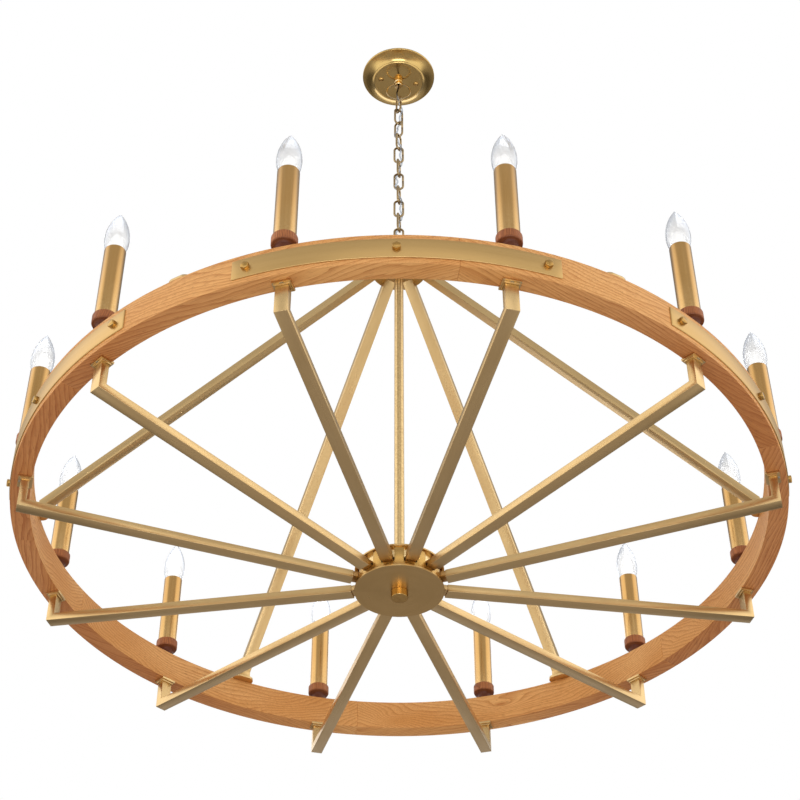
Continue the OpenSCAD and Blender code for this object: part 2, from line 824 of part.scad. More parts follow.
module rim_piece(i) {
    color("burlywood")
    translate([0, 0, rim_z])
    difference() {
        rotate([0, 0, (i - 1) * strap_step + rim_joint_turn - 90])
            rotate_extrude(angle = strap_step, $fn = rim_fn) rim_section();
        around(candle_angles) translate([0, -rim_mid, -cut])
            cylinder(r = rod_d / 2 + bore_gap, h = rim_h + 2 * cut);
        around(spoke_angles) translate([0, -foot_screw_r, rim_h - screw_grip])
            cylinder(r = screw_d / 2 + thread_gap, h = screw_grip + cut);
        around(bolt_angles) radial_rod(bolt_d / 2 + thread_gap, rim_r - bolt_grip, rim_r + cut);
    }
}

module rim_straps() {
    low = (rim_h - strap_h) / 2;
    color("darkgoldenrod")
    translate([0, 0, rim_z])
    difference() {
        around(strap_angles)
            rotate([0, 0, -strap_turn - 90]) rotate_extrude(angle = 2 * strap_turn, $fn = rim_fn)
            translate([rim_r, low]) square([strap_t, strap_h]);
        around(bolt_angles)
            radial_rod(bolt_d / 2 + loose_gap, rim_r - cut, rim_r + strap_t + cut);
    }
}

module strap_bolts() {
    face = rim_r + strap_t;
    head_r = bolt_head_w / 2 / cos(30);
    color("gold")
    translate([0, 0, rim_z]) around(bolt_angles) {
        radial_rod(bolt_d / 2, rim_r - bolt_grip, face);
        radial_rod(head_r, face, face + bolt_head_h - bolt_head_edge, 6);
        radial_rod((bolt_head_w - bolt_head_edge) / 2, face + bolt_head_h - bolt_head_edge,
                   face + bolt_head_h);
    }
}

crossbar();
nipple();
nipple_nut();
canopy();
canopy_screws();
canopy_collar();
supply_cord();
suspension_ring();
for (i = [1:links]) chain_link(i);
hub_loop();
upper_hub();
hub_screws();
stem();
tie_tube();
upper_spokes();
foot_screws();
hub_top_plate();
hub_spacer();
hub_drum();
hub_bottom_plate();
finial();
arms();
arm_collars();
candle_rods();
cup_nuts();
candle_cups();
candle_sleeves();
lamp_holders();
rim_straps();
strap_bolts();
for (i = [1:straps]) rim_piece(i);
for (i = [1:candles]) bulb(i);
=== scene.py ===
# %% [markdown]
# # A wagon wheel chandelier
# A wooden rim, strapped with brass, carries twelve candle lights. Brass arms under the rim and
# brass spokes above it meet in two hubs on a stem, and the wheel hangs on a chain from a canopy.
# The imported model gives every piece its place. This script dresses it: rounded edges, turned
# wood, glass bulbs, the woven supply cord, and the finishes.

# %% Load the frame
import math

import bpy
from mathutils import Matrix, Vector
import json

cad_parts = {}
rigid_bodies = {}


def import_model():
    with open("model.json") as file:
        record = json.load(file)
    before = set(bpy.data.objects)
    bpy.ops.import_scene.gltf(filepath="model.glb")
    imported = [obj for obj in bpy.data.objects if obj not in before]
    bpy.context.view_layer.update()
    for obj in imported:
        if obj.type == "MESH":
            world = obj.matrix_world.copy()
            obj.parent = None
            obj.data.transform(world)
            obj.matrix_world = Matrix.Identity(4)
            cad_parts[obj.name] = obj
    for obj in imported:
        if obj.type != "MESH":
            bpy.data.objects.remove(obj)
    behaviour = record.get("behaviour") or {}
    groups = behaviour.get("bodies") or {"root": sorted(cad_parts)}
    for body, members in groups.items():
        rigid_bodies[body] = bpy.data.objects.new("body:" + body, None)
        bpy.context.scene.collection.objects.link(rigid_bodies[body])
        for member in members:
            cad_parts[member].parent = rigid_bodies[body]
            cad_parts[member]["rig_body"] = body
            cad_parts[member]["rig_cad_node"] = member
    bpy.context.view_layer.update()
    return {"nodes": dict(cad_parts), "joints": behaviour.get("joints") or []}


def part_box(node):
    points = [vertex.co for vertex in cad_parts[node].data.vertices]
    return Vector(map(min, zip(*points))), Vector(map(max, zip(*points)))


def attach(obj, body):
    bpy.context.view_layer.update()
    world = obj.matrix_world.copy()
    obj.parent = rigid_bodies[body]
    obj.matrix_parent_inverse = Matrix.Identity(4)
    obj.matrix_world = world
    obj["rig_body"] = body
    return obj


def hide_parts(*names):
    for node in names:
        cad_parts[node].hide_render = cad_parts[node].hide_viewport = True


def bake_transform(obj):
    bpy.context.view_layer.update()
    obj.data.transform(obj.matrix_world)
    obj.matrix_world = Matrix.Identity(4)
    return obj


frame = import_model()
MM = 0.001


# %% [markdown]
# ## Places from the frame
# Sizes aren't typed in again where the frame knows them. The rim's height, the middle of each
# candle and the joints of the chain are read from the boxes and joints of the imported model.


# %% Places
def low(node):
    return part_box(node)[0]


def high(node):
    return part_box(node)[1]


def middle(node):
    return (low(node) + high(node)) / 2


def numbered(word, count):
    return [f"{word}_{i:02d}" for i in range(1, count + 1)]


rim_nodes = [f"rim_piece_{i}" for i in range(1, 7)]
bulb_nodes = numbered("bulb", 12)
link_nodes = numbered("chain_link", 12)
rim_z = low("rim_piece_1").z
rim_top = high("rim_piece_1").z
sleeve_low = low("candle_sleeves").z
sleeve_top = high("candle_sleeves").z
face_z = low("canopy").z
candle_r = middle("bulb_01").to_2d().length
candle_turns = [math.radians(30 * i + 15) for i in range(12)]
strap_turns = [math.radians(60 * i) for i in range(6)]
print(f"rim at {rim_z:.4f} m, candles {candle_r:.4f} m from the axis")

# %% [markdown]
# ## The camera
# The photograph looks up at the wheel from in front and below, with a long lens. The camera's
# place comes from matching the rim's ellipse and the hubs, and it is level but for a hair.

# %% Camera
CAMERA_BACK = 2.2004
CAMERA_DOWN = 1.6406
CAMERA_RISE = math.radians(41.228)
CAMERA_YAW = math.radians(0.282)
CAMERA_ROLL = math.radians(-0.103)
LENS = 78.88

camera_data = bpy.data.cameras.new("photo_camera")
camera_data.lens = LENS
camera_data.shift_x = 0.0011
camera = bpy.data.objects.new("photo_camera", camera_data)
bpy.context.scene.collection.objects.link(camera)
camera.location = (
    CAMERA_BACK * math.sin(CAMERA_YAW),
    -CAMERA_BACK * math.cos(CAMERA_YAW),
    rim_z - CAMERA_DOWN,
)
aim = Matrix.Rotation(CAMERA_YAW, 4, "Z") @ Matrix.Rotation(math.pi / 2 + CAMERA_RISE, 4, "X")
camera.rotation_euler = (aim @ Matrix.Rotation(CAMERA_ROLL, 4, "Z")).to_euler()
bpy.context.scene.camera = camera

# %% [markdown]
# ## Helpers for modelling
# Most pieces here are turned, bent or cut from tube, so a few moves repeat. A turned piece starts
# as a circle that is extruded and scaled up its profile. A bar along the rim is a rounded
# rectangle that is spun. A piece with plain flat faces is a merged copy of its solid with a real
# radius on every edge, because a sharp edge catches no light and looks like paper.


# %% Selecting and finishing
def deselect():
    if bpy.context.object and bpy.context.object.mode != "OBJECT":
        bpy.ops.object.mode_set(mode="OBJECT")
    bpy.ops.object.select_all(action="DESELECT")


def choose(*pieces):
    deselect()
    for piece in pieces:
        piece.select_set(True)
    bpy.context.view_layer.objects.active = pieces[0]


def edit(piece):
    choose(piece)
    bpy.ops.object.mode_set(mode="EDIT")
    bpy.ops.mesh.select_all(action="SELECT")


def done():
    bpy.ops.object.mode_set(mode="OBJECT")


def select_where(piece, test):
    """Selects the vertices that pass the test, in edit mode."""
    bpy.ops.mesh.select_mode(type="VERT")
    bpy.ops.mesh.select_all(action="DESELECT")
    bpy.ops.object.mode_set(mode="OBJECT")
    for vertex in piece.data.vertices:
        vertex.select = test(vertex.co)
    bpy.ops.object.mode_set(mode="EDIT")


def modify(piece, kind, **values):
    choose(piece)
    modifier = piece.modifiers.new(kind.title(), kind)
    for key, value in values.items():
        setattr(modifier, key, value)
    bpy.ops.object.modifier_apply(modifier=modifier.name)


def round_edges(piece, width, segments=2):
    modify(piece, "BEVEL", width=width, segments=segments, limit_method="ANGLE",
           angle_limit=math.radians(30), harden_normals=False)


def named(name):
    piece = bpy.context.object
    piece.name = name
    piece.data.name = name
    return piece


def finish_piece(piece, body, slot, finish, *nodes, smooth=32):
    """Applies the place, smooths the shading, and hangs the piece on its body."""
    choose(piece)
    bpy.ops.object.transform_apply(location=True, rotation=True, scale=True)
    bpy.ops.object.shade_smooth_by_angle(angle=math.radians(smooth))
    piece.data.materials.clear()
    piece.data.materials.append(finish)
    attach(piece, body)
    if nodes:
        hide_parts(*nodes)
    return piece


# %% Copies round the axis
def turn_mesh(piece, angle):
    piece.data.transform(Matrix.Rotation(angle, 4, "Z"))


def copy_of(piece, name):
    choose(piece)
    bpy.ops.object.duplicate(linked=False)
    return named(name)


def ring_of(piece, turns):
    """The piece, made at -Y, copied to each of the angles and joined into one."""
    pieces = [piece]
    for i, angle in enumerate(turns[1:]):
        other = copy_of(piece, f"{piece.name}_{i + 2}")
        turn_mesh(other, angle)
        pieces.append(other)
    turn_mesh(piece, turns[0])
    choose(*pieces)
    bpy.ops.object.join()
    return piece


# %% Turned pieces
def turned(name, profile, sides=96):
    """Turns a profile of (radius, height) round the Z axis, from its first point to its last."""
    deselect()
    radius, height = profile[0]
    bpy.ops.mesh.primitive_circle_add(vertices=sides, radius=radius, location=(0, 0, height))
    piece = named(name)
    bpy.ops.object.transform_apply(location=True)
    edit(piece)
    for (r0, z0), (r1, z1) in zip(profile, profile[1:]):
        bpy.ops.mesh.extrude_region_move(TRANSFORM_OT_translate={"value": (0, 0, z1 - z0)})
        bpy.ops.transform.resize(value=(r1 / r0, r1 / r0, 1), center_override=(0, 0, z1))
    bpy.ops.mesh.select_all(action="SELECT")
    bpy.ops.mesh.remove_doubles(threshold=1e-6)
    bpy.ops.mesh.normals_make_consistent(inside=False)
    done()
    return piece


POLE = 2e-7


def arc(r, z, radius, start, end, steps=5):
    """Points of a fillet round (r, z), from one angle to the other, in degrees."""
    turns = [math.radians(start + (end - start) * k / steps) for k in range(steps + 1)]
    return [(r + radius * math.cos(t), z + radius * math.sin(t)) for t in turns]


# %% Bars bent round the rim
def bent_bar(name, inner, outer, bottom, top, start, angle, edge, steps):
    """A bar of rectangular section, spun round the axis from start over angle, then rounded."""
    deselect()
    bpy.ops.mesh.primitive_plane_add(size=1)
    piece = named(name)
    piece.scale = (outer - inner, top - bottom, 1)
    piece.rotation_euler = (math.pi / 2, 0, 0)
    piece.location = ((inner + outer) / 2, 0, (bottom + top) / 2)
    bpy.ops.object.transform_apply(location=True, rotation=True, scale=True)
    edit(piece)
    bpy.ops.mesh.delete(type="ONLY_FACE")
    bpy.ops.mesh.select_all(action="SELECT")
    bpy.ops.mesh.spin(steps=steps, angle=angle, center=(0, 0, 0), axis=(0, 0, 1))
    bpy.ops.mesh.select_all(action="SELECT")
    bpy.ops.mesh.fill_holes(sides=0)
    bpy.ops.mesh.select_all(action="SELECT")
    bpy.ops.mesh.normals_make_consistent(inside=False)
    done()
    spun_to = max(piece.data.vertices, key=lambda v: v.co.y).co
    turn_mesh(piece, start - math.pi / 2 + (0 if spun_to.y > 0.01 else angle))
    round_edges(piece, edge, 3)
    return piece


# %% Rounded copies of flat-faced solids
def eased(name, node, radius, segments=2):
    """A merged copy of a solid, with its flat faces made whole and its edges rounded."""
    source = frame["nodes"][node]
    choose(source)
    bpy.ops.object.duplicate(linked=False)
    piece = named(name)
    piece.parent = None
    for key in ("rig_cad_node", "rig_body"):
        if key in piece:
            del piece[key]
    edit(piece)
    bpy.ops.mesh.remove_doubles(threshold=2e-6)
    bpy.ops.mesh.dissolve_limited(angle_limit=math.radians(0.3))
    done()
    round_edges(piece, radius, segments)
    return piece

# %% [markdown]
# ## Finishes
# Every metal here is brushed, so its light is drawn out across the brushing. The streaks run
# round a turned piece, along a tube, and round the rim on a strap. Each needs its own
# coordinates, so three small node groups make them out of the Object coordinates, and one group
# turns any of them into streaks.


# %% Node helpers
VECTOR, NUMBER = "NodeSocketVector", "NodeSocketFloat"


def new_group(name, inputs, outputs):
    group = bpy.data.node_groups.new(name, "ShaderNodeTree")
    for label, kind, value in inputs:
        socket = group.interface.new_socket(label, in_out="INPUT", socket_type=kind)
        if value is not None:
            socket.default_value = value
    for label, kind in outputs:
        group.interface.new_socket(label, in_out="OUTPUT", socket_type=kind)
    return group, group.nodes.new("NodeGroupInput"), group.nodes.new("NodeGroupOutput")


def join(tree, source, target):
    """Links a socket, or writes a plain value, into a socket."""
    if isinstance(source, bpy.types.NodeSocket):
        tree.links.new(source, target)
    else:
        target.default_value = source


def feed(tree, node, **values):
    """Links or writes each value into the input of that name."""
    for key, value in values.items():
        join(tree, value, node.inputs[key.replace("_", " ")])


def maths(tree, operation, a, b=None, c=None):
    node = tree.nodes.new("ShaderNodeMath")
    node.operation = operation
    for value, socket in zip((a, b, c), node.inputs):
        if value is not None:
            join(tree, value, socket)
    return node.outputs[0]


def times(tree, a, b):
    return maths(tree, "MULTIPLY", a, b)


def times_plus(tree, a, b, c):
    return maths(tree, "MULTIPLY_ADD", a, b, c)


def radius_of(tree, x, y):
    return maths(tree, "SQRT", times_plus(tree, x, x, times(tree, y, y)))


def vector_of(tree, x, y, z):
    node = tree.nodes.new("ShaderNodeCombineXYZ")
    for value, socket in zip((x, y, z), node.inputs):
        join(tree, value, socket)
    return node.outputs[0]


def stretched(tree, vector, scale):
    node = tree.nodes.new("ShaderNodeVectorMath")
    node.operation = "MULTIPLY"
    join(tree, vector, node.inputs[0])
    node.inputs[1].default_value = scale
    return node.outputs[0]


def noise(tree, vector, scale, detail=2.0, roughness=0.5, distortion=0.0):
    node = tree.nodes.new("ShaderNodeTexNoise")
    feed(tree, node, Vector=vector, Scale=scale, Detail=detail, Roughness=roughness,
         Distortion=distortion)
    return node.outputs["Fac"]


def spread(tree, value, a, b, c=0.0, d=1.0):
    """Maps a to c and b to d, and stops there."""
    node = tree.nodes.new("ShaderNodeMapRange")
    join(tree, value, node.inputs["Value"])
    for socket, number in zip(("From Min", "From Max", "To Min", "To Max"), (a, b, c, d)):
        join(tree, number, node.inputs[socket])
    return node.outputs[0]


def spread_out(tree, value, *limits):
    """The same on both sides of 0."""
    return spread(tree, maths(tree, "ABSOLUTE", value), *limits)


def blended(tree, factor, a, b, mode="MIX"):
    node = tree.nodes.new("ShaderNodeMix")
    node.data_type = "RGBA"
    node.blend_type = mode
    join(tree, factor, node.inputs[0])
    join(tree, a, node.inputs[6])
    join(tree, b, node.inputs[7])
    return node.outputs[2]


def position(tree):
    return tree.nodes.new("ShaderNodeTexCoord").outputs["Object"]


def parts_of(tree, vector):
    node = tree.nodes.new("ShaderNodeSeparateXYZ")
    join(tree, vector, node.inputs[0])
    return node.outputs


def use(tree, group, **values):
    node = tree.nodes.new("ShaderNodeGroup")
    node.node_tree = group
    feed(tree, node, **values)
    return node


def relief(tree, shader, height, strength, distance):
    node = tree.nodes.new("ShaderNodeBump")
    feed(tree, node, Height=height, Strength=strength, Distance=distance)
    feed(tree, shader, Normal=node.outputs[0])


def colour_of(material):
    """The tree, its Base Color socket, and what feeds that."""
    tree = material.node_tree
    socket = tree.nodes["Principled BSDF"].inputs["Base Color"]
    return tree, socket, socket.links[0].from_socket


# %% [markdown]
# ## Room and light
# The lamp hangs in front of plain white, so the world is white to the camera and to glass. Metal
# sees a room instead: dim below, brighter above and beside the viewer, and dark at the far end
# and in its corners. Soft boxes at both sides light the metal without being mirrored in it. A
# wide, cool card behind the camera is what polished brass mirrors.

# %% World
scene = bpy.context.scene
scene.view_settings.view_transform = "Standard"
world = bpy.data.worlds.new("white_room")
scene.world = world
world.use_nodes = True
room = world.node_tree
room.nodes.clear()
world_out = room.nodes.new("ShaderNodeOutputWorld")
world_back = room.nodes.new("ShaderNodeBackground")
rays = room.nodes.new("ShaderNodeLightPath")
x, y, z = parts_of(room, room.nodes.new("ShaderNodeTexCoord").outputs["Generated"])
SOFT = 0.76
SIDE_STRENGTH = 0.95
FAR_STRENGTH = 0.4
height_light = spread(room, z, -0.5, 0.3, 0.36, 0.66)
beside_us = times(room, spread_out(room, x, 0.5, 0.68), spread(room, y, 0.5, 0.72, 1.0, 0.0))
side_light = times(room, beside_us, spread(room, z, -0.25, 0.25))
far_end = times(room, spread(room, y, 0.25, 0.7), spread(room, z, 0.2, 0.6))
back_corners = times(room, spread_out(room, x, 0.3, 0.55), spread(room, y, 0.5, 0.7))
dark_end = maths(room, "MAXIMUM", far_end, back_corners)
walls = times_plus(room, side_light, SIDE_STRENGTH, height_light)
room_light = times(room, walls, spread(room, dark_end, 0.0, 1.0, 1.0, FAR_STRENGTH))
shiny = rays.outputs["Is Glossy Ray"]
seen_white = maths(room, "MAXIMUM", rays.outputs["Is Camera Ray"], rays.outputs["Is Transmission Ray"])
soft_light = times_plus(room, maths(room, "SUBTRACT", room_light, SOFT), shiny, SOFT)
room.links.new(maths(room, "MAXIMUM", seen_white, soft_light), world_back.inputs["Strength"])
tint = blended(room, spread(room, z, -0.6, 0.2), (1.03, 0.97, 1.0, 1), (1.0, 0.99, 0.96, 1))
room.links.new(blended(room, shiny, (1, 1, 1, 1), tint), world_back.inputs["Color"])
room.links.new(world_back.outputs[0], world_out.inputs["Surface"])


# %% Soft boxes
def soft_box(name, place, target, width, height, power, colour=(1, 1, 1)):
    data = bpy.data.lights.new(name, "AREA")
    data.shape = "RECTANGLE"
    data.size = width
    data.size_y = height
    data.energy = power
    data.color = colour
    box = bpy.data.objects.new(name, data)
    box.location = place
    box.rotation_euler = (Vector(target) - Vector(place)).to_track_quat("-Z", "Y").to_euler()
    bpy.context.scene.collection.objects.link(box)
    return box


wheel_middle = (0, 0, rim_z + 0.1)
for side_box in (soft_box("left_soft_box", (-3.4, -1.8, -0.5), wheel_middle, 2.0, 3.0, 40),
                 soft_box("right_soft_box", (3.4, -1.4, -0.6), wheel_middle, 2.0, 3.0, 34)):
    side_box.visible_glossy = False
soft_box("front_soft_box", (0.4, -3.8, 0.6), wheel_middle, 3.2, 1.6, 12)
soft_box("back_soft_box", (-0.4, 3.4, 0.4), wheel_middle, 3.2, 1.6, 22)
soft_box("card_behind_the_camera", (0, -3.2, rim_z - 2.5), (0, 0, rim_z), 3.0, 1.0, 36, (0.9, 0.96, 1.12))


# %% Coordinates that follow the metal
def round_group():
    """(turn x 0.06 m, radius, height): streaks run round the axis."""
    group, given, out = new_group(
        "round_the_axis", [("Position", VECTOR, None)], [("Along", VECTOR)])
    x, y, z = parts_of(group, given.outputs[0])
    turn = times(group, maths(group, "ARCTAN2", y, x), 0.06)
    radius = radius_of(group, x, y)
    group.links.new(vector_of(group, turn, radius, z), out.inputs[0])
    return group


def tube_group():
    """(along, across, up) on the nearest of the tubes that stand out like a wheel's spokes."""
    group, given, out = new_group(
        "along_a_tube",
        [("Position", VECTOR, None), ("Step", NUMBER, 0.5),
         ("Offset", NUMBER, 0.0), ("Rise", NUMBER, 0.0)],
        [("Along", VECTOR), ("Tube", NUMBER)])
    x, y, z = parts_of(group, given.outputs["Position"])
    radius = radius_of(group, x, y)
    turn = maths(group, "SUBTRACT", maths(group, "ARCTAN2", y, x), given.outputs["Offset"])
    share = maths(group, "DIVIDE", turn, given.outputs["Step"])
    nearest = maths(group, "ROUND", share)
    off = times(group, maths(group, "SUBTRACT", share, nearest), given.outputs["Step"])
    out_r = times(group, radius, maths(group, "COSINE", off))
    across = times(group, radius, maths(group, "SINE", off))
    tilt_c = maths(group, "COSINE", given.outputs["Rise"])
    tilt_s = maths(group, "SINE", given.outputs["Rise"])
    along = maths(group, "SUBTRACT", times(group, out_r, tilt_c), times(group, z, tilt_s))
    up = times_plus(group, out_r, tilt_s, times(group, z, tilt_c))
    group.links.new(vector_of(group, along, across, up), out.inputs[0])
    group.links.new(nearest, out.inputs[1])
    return group


def brushing_group():
    """Streaks that are long in the first coordinate and fine in the others."""
    group, given, out = new_group(
        "brushing",
        [("Along", VECTOR, None)],
        [("Streaks", NUMBER), ("Clouds", NUMBER)])
    fine = noise(group, stretched(group, given.outputs[0], (18, 1100, 1100)), 1.0, 2.0, 0.6)
    coarse = noise(group, stretched(group, given.outputs[0], (6, 260, 260)), 1.0, 2.0, 0.5)
    streaks = times_plus(group, coarse, 0.45, times(group, fine, 0.55))
    clouds = noise(group, stretched(group, given.outputs[0], (9, 22, 22)), 1.0, 3.0, 0.55)
    group.links.new(streaks, out.inputs[0])
    group.links.new(clouds, out.inputs[1])
    return group


def wear_group():
    """A mask that is 1 on worn edges and 0 on faces and in hollows."""
    group, given, out = new_group(
        "edge_wear", [("Position", VECTOR, None)], [("Edge", NUMBER)])
    shape = group.nodes.new("ShaderNodeNewGeometry").outputs["Pointiness"]
    patchy = noise(group, given.outputs[0], 260.0, 2.0)
    edge = spread(group, shape, 0.57, 0.66)
    worn = times(group, edge, spread(group, patchy, 0.3, 0.6, 0.4, 1.0))
    group.links.new(worn, out.inputs[0])
    return group


ROUND = round_group()
TUBE = tube_group()
BRUSHING = brushing_group()
WEAR = wear_group()


# %% [markdown]
# ## Brass
# Satin brass is a pale, warm metal with a dull surface. Its colour changes by a few percent in
# soft clouds where the lacquer is thicker, and the brushing changes the roughness more than the
# colour. Along the edges it is rubbed brighter, though hardly so on the arms and spokes. Polished
# pieces are smoother and deeper in colour, and mirror the room.


# %% Brass
def start_material(name):
    material = bpy.data.materials.new(name)
    material.use_nodes = True
    tree = material.node_tree
    shader = tree.nodes["Principled BSDF"]
    return material, tree, shader


def brushed_metal(name, colour, dark, bright, coordinates, roughness=0.36, bump=0.015, worn=1.0, **values):
    material, tree, shader = start_material(name)
    place = position(tree)
    if coordinates is None:
        along = place
    elif coordinates == "upright":
        x, y, z = parts_of(tree, place)
        along = vector_of(tree, z, x, y)
    else:
        along = use(tree, coordinates, Position=place, **values).outputs[0]
    brushed = use(tree, BRUSHING, Along=along)
    edge = use(tree, WEAR, Position=place).outputs[0]
    clouds = spread(tree, brushed.outputs["Clouds"], 0.3, 0.7)
    streaks = spread(tree, brushed.outputs["Streaks"], 0.35, 0.65)
    base = blended(tree, clouds, dark, colour)
    lined = blended(tree, times(tree, streaks, 0.1), base, bright)
    rough = times_plus(tree, streaks, 0.12, roughness - 0.06)
    feed(tree, shader, Base_Color=blended(tree, times(tree, edge, worn), lined, bright),
         Roughness=times_plus(tree, clouds, -0.05, rough), Metallic=1.0)
    relief(tree, shader, streaks, bump, 0.0001)
    return material


BRASS = (0.6, 0.385, 0.15, 1)
BRASS_DARK = (0.53, 0.335, 0.125, 1)
BRASS_BRIGHT = (0.8, 0.59, 0.3, 1)
SLEEVE = (0.56, 0.32, 0.11, 1)
SLEEVE_DARK = (0.5, 0.28, 0.09, 1)
PALE = (0.68, 0.475, 0.225, 1)
PALE_DARK = (0.6, 0.41, 0.185, 1)
STEM = (0.46, 0.31, 0.13, 1)
STEM_DARK = (0.42, 0.27, 0.11, 1)
POLISHED = (0.52, 0.31, 0.09, 1)
POLISHED_DARK = (0.4, 0.22, 0.055, 1)
POLISHED_BRIGHT = (0.88, 0.68, 0.37, 1)
SPUN = (0.66, 0.45, 0.16, 1)
SPUN_DARK = (0.56, 0.37, 0.125, 1)
ANTIQUE = (0.42, 0.3, 0.155, 1)
ANTIQUE_DARK = (0.24, 0.165, 0.08, 1)
ANTIQUE_BRIGHT = (0.68, 0.53, 0.31, 1)
ARM_FALL = math.atan(0.0395 / 0.50625)
SPOKE_LEAN = math.radians(44.7)

turned_brass = brushed_metal("turned_brass", BRASS, BRASS_DARK, BRASS_BRIGHT, ROUND)
turned_shader = turned_brass.node_tree.nodes["Principled BSDF"]
tangent = turned_brass.node_tree.nodes.new("ShaderNodeTangent")
tangent.direction_type = "RADIAL"
tangent.axis = "Z"
feed(turned_brass.node_tree, turned_shader, Anisotropic=0.5, Anisotropic_Rotation=0.25,
     Tangent=tangent.outputs[0])
arm_brass = brushed_metal(
    "arm_brass", PALE, PALE_DARK, BRASS_BRIGHT, TUBE, worn=0.06,
    Step=math.radians(30), Offset=math.radians(15), Rise=-ARM_FALL)
spoke_brass = brushed_metal(
    "spoke_brass", PALE, PALE_DARK, BRASS_BRIGHT, TUBE, worn=0.06,
    Step=math.radians(60), Offset=0.0, Rise=SPOKE_LEAN)
strap_brass = brushed_metal("strap_brass", BRASS, BRASS_DARK, BRASS_BRIGHT, ROUND, roughness=0.4)
upright_brass = brushed_metal(
    "upright_brass", SLEEVE, SLEEVE_DARK, BRASS_BRIGHT, "upright", roughness=0.24, bump=0.015)
stem_brass = brushed_metal(
    "stem_brass", STEM, STEM_DARK, BRASS_BRIGHT, "upright", roughness=0.34)
drum_brass = brushed_metal(
    "polished_brass", POLISHED, POLISHED_DARK, POLISHED_BRIGHT, ROUND, roughness=0.28, bump=0.02)
spun_brass = brushed_metal(
    "spun_brass", SPUN, SPUN_DARK, BRASS_BRIGHT, ROUND, roughness=0.2, bump=0.0)
knob_brass = brushed_metal(
    "mirror_brass", POLISHED, POLISHED_DARK, POLISHED_BRIGHT, ROUND, roughness=0.24, bump=0.0)
chain_brass = brushed_metal(
    "antique_brass", ANTIQUE, ANTIQUE_DARK, ANTIQUE_BRIGHT, None, roughness=0.3, bump=0.02)
zinc = brushed_metal(
    "zinc_plate", (0.55, 0.55, 0.53, 1), (0.42, 0.42, 0.41, 1), (0.75, 0.75, 0.73, 1), None,
    roughness=0.32, bump=0.02)


# %% [markdown]
# ## Wood
# The rim is light, warm wood with open grain. A solid texture suits it, because the same grain
# has to run over the edges from one face to the next. Growth rings repeat with the depth in the
# board, bent by noise that is stretched along it; pores are short dark dashes; and knots push the
# rings aside. The grain lies along each block's chord, and shade is painted into the underside
# towards the wheel's sides. The cups are of a darker, redder wood with the grain standing up, and
# shade is painted into their lower part.


# %% Wood
def wood_group():
    """Grain that runs along the first coordinate of a board."""
    group, given, out = new_group(
        "wood_grain",
        [("Board", VECTOR, None), ("Rings", NUMBER, 1.0)],
        [("Grain", NUMBER), ("Pores", NUMBER), ("Tone", NUMBER)])
    board = given.outputs["Board"]
    bend = noise(group, stretched(group, board, (3.2, 14, 14)), 1.0, 2.0, 0.5)
    fine_bend = noise(group, stretched(group, board, (14, 60, 60)), 1.0, 2.0, 0.5)
    x, y, z = parts_of(group, board)
    depth = times_plus(group, y, 0.85, z)
    wander = times_plus(group, bend, 0.075, times(group, fine_bend, 0.007))
    cells = group.nodes.new("ShaderNodeTexVoronoi")
    join(group, stretched(group, board, (4.6, 17, 17)), cells.inputs["Vector"])
    cells.inputs["Scale"].default_value = 1.0
    kept = maths(group, "GREATER_THAN", parts_of(group, cells.outputs["Color"])[0], 0.6)
    away = cells.outputs["Distance"]
    nearness = times(group, spread(group, away, 0.0, 0.42, 1.0, 0.0), kept)
    pushed = times_plus(group, maths(group, "POWER", nearness, 2.0), 0.04, wander)
    phase = times(group, maths(group, "ADD", depth, pushed), given.outputs["Rings"])
    ring = maths(group, "FRACT", times(group, phase, 150.0))
    knot = times(group, spread(group, away, 0.05, 0.12, 1.0, 0.0), kept)
    late = maths(group, "POWER", ring, 2.6)
    fibres = noise(group, stretched(group, board, (22, 900, 900)), 1.0, 3.0, 0.6)
    grain = times_plus(group, late, 0.55, times(group, spread(group, fibres, 0.3, 0.7), 0.42))
    dashes = noise(group, stretched(group, board, (70, 1500, 1500)), 1.0, 1.0, 0.5)
    pores = spread(group, dashes, 0.62, 0.72)
    tone = noise(group, stretched(group, board, (2.2, 16, 16)), 1.0, 2.0, 0.5)
    group.links.new(maths(group, "MAXIMUM", grain, knot), out.inputs["Grain"])
    group.links.new(maths(group, "MAXIMUM", pores, times(group, knot, late)), out.inputs["Pores"])
    group.links.new(spread(group, tone, 0.3, 0.7), out.inputs["Tone"])
    return group


WOOD = wood_group()


def wooden(name, board, light, mid, late, pore, rings, roughness, painted_low_shade=None):
    material, tree, shader = start_material(name)
    place = position(tree)
    grain = use(tree, WOOD, Board=board(tree, place), Rings=rings).outputs
    edge = use(tree, WEAR, Position=place).outputs[0]
    tone = blended(tree, grain["Tone"], light, mid)
    # Painted shade: below the given heights the colour is darkened towards the late-wood colour.
    if painted_low_shade:
        painted_low_shade_mask = spread(tree, parts_of(tree, place)[2], *painted_low_shade, 1.0, 0.0)
        tone = blended(tree, painted_low_shade_mask, tone, late)
    lined = blended(tree, grain["Grain"], tone, late)
    dotted = blended(tree, times(tree, grain["Pores"], 0.55), lined, pore)
    rough = times_plus(tree, grain["Grain"], 0.1, roughness)
    feed(tree, shader, Base_Color=blended(tree, times(tree, edge, 0.35), dotted, light),
         Roughness=times_plus(tree, grain["Pores"], 0.15, rough), Specular_IOR_Level=0.3)
    height = times_plus(tree, grain["Pores"], -0.7, grain["Grain"])
    relief(tree, shader, height, 0.25, 0.0006)
    return material


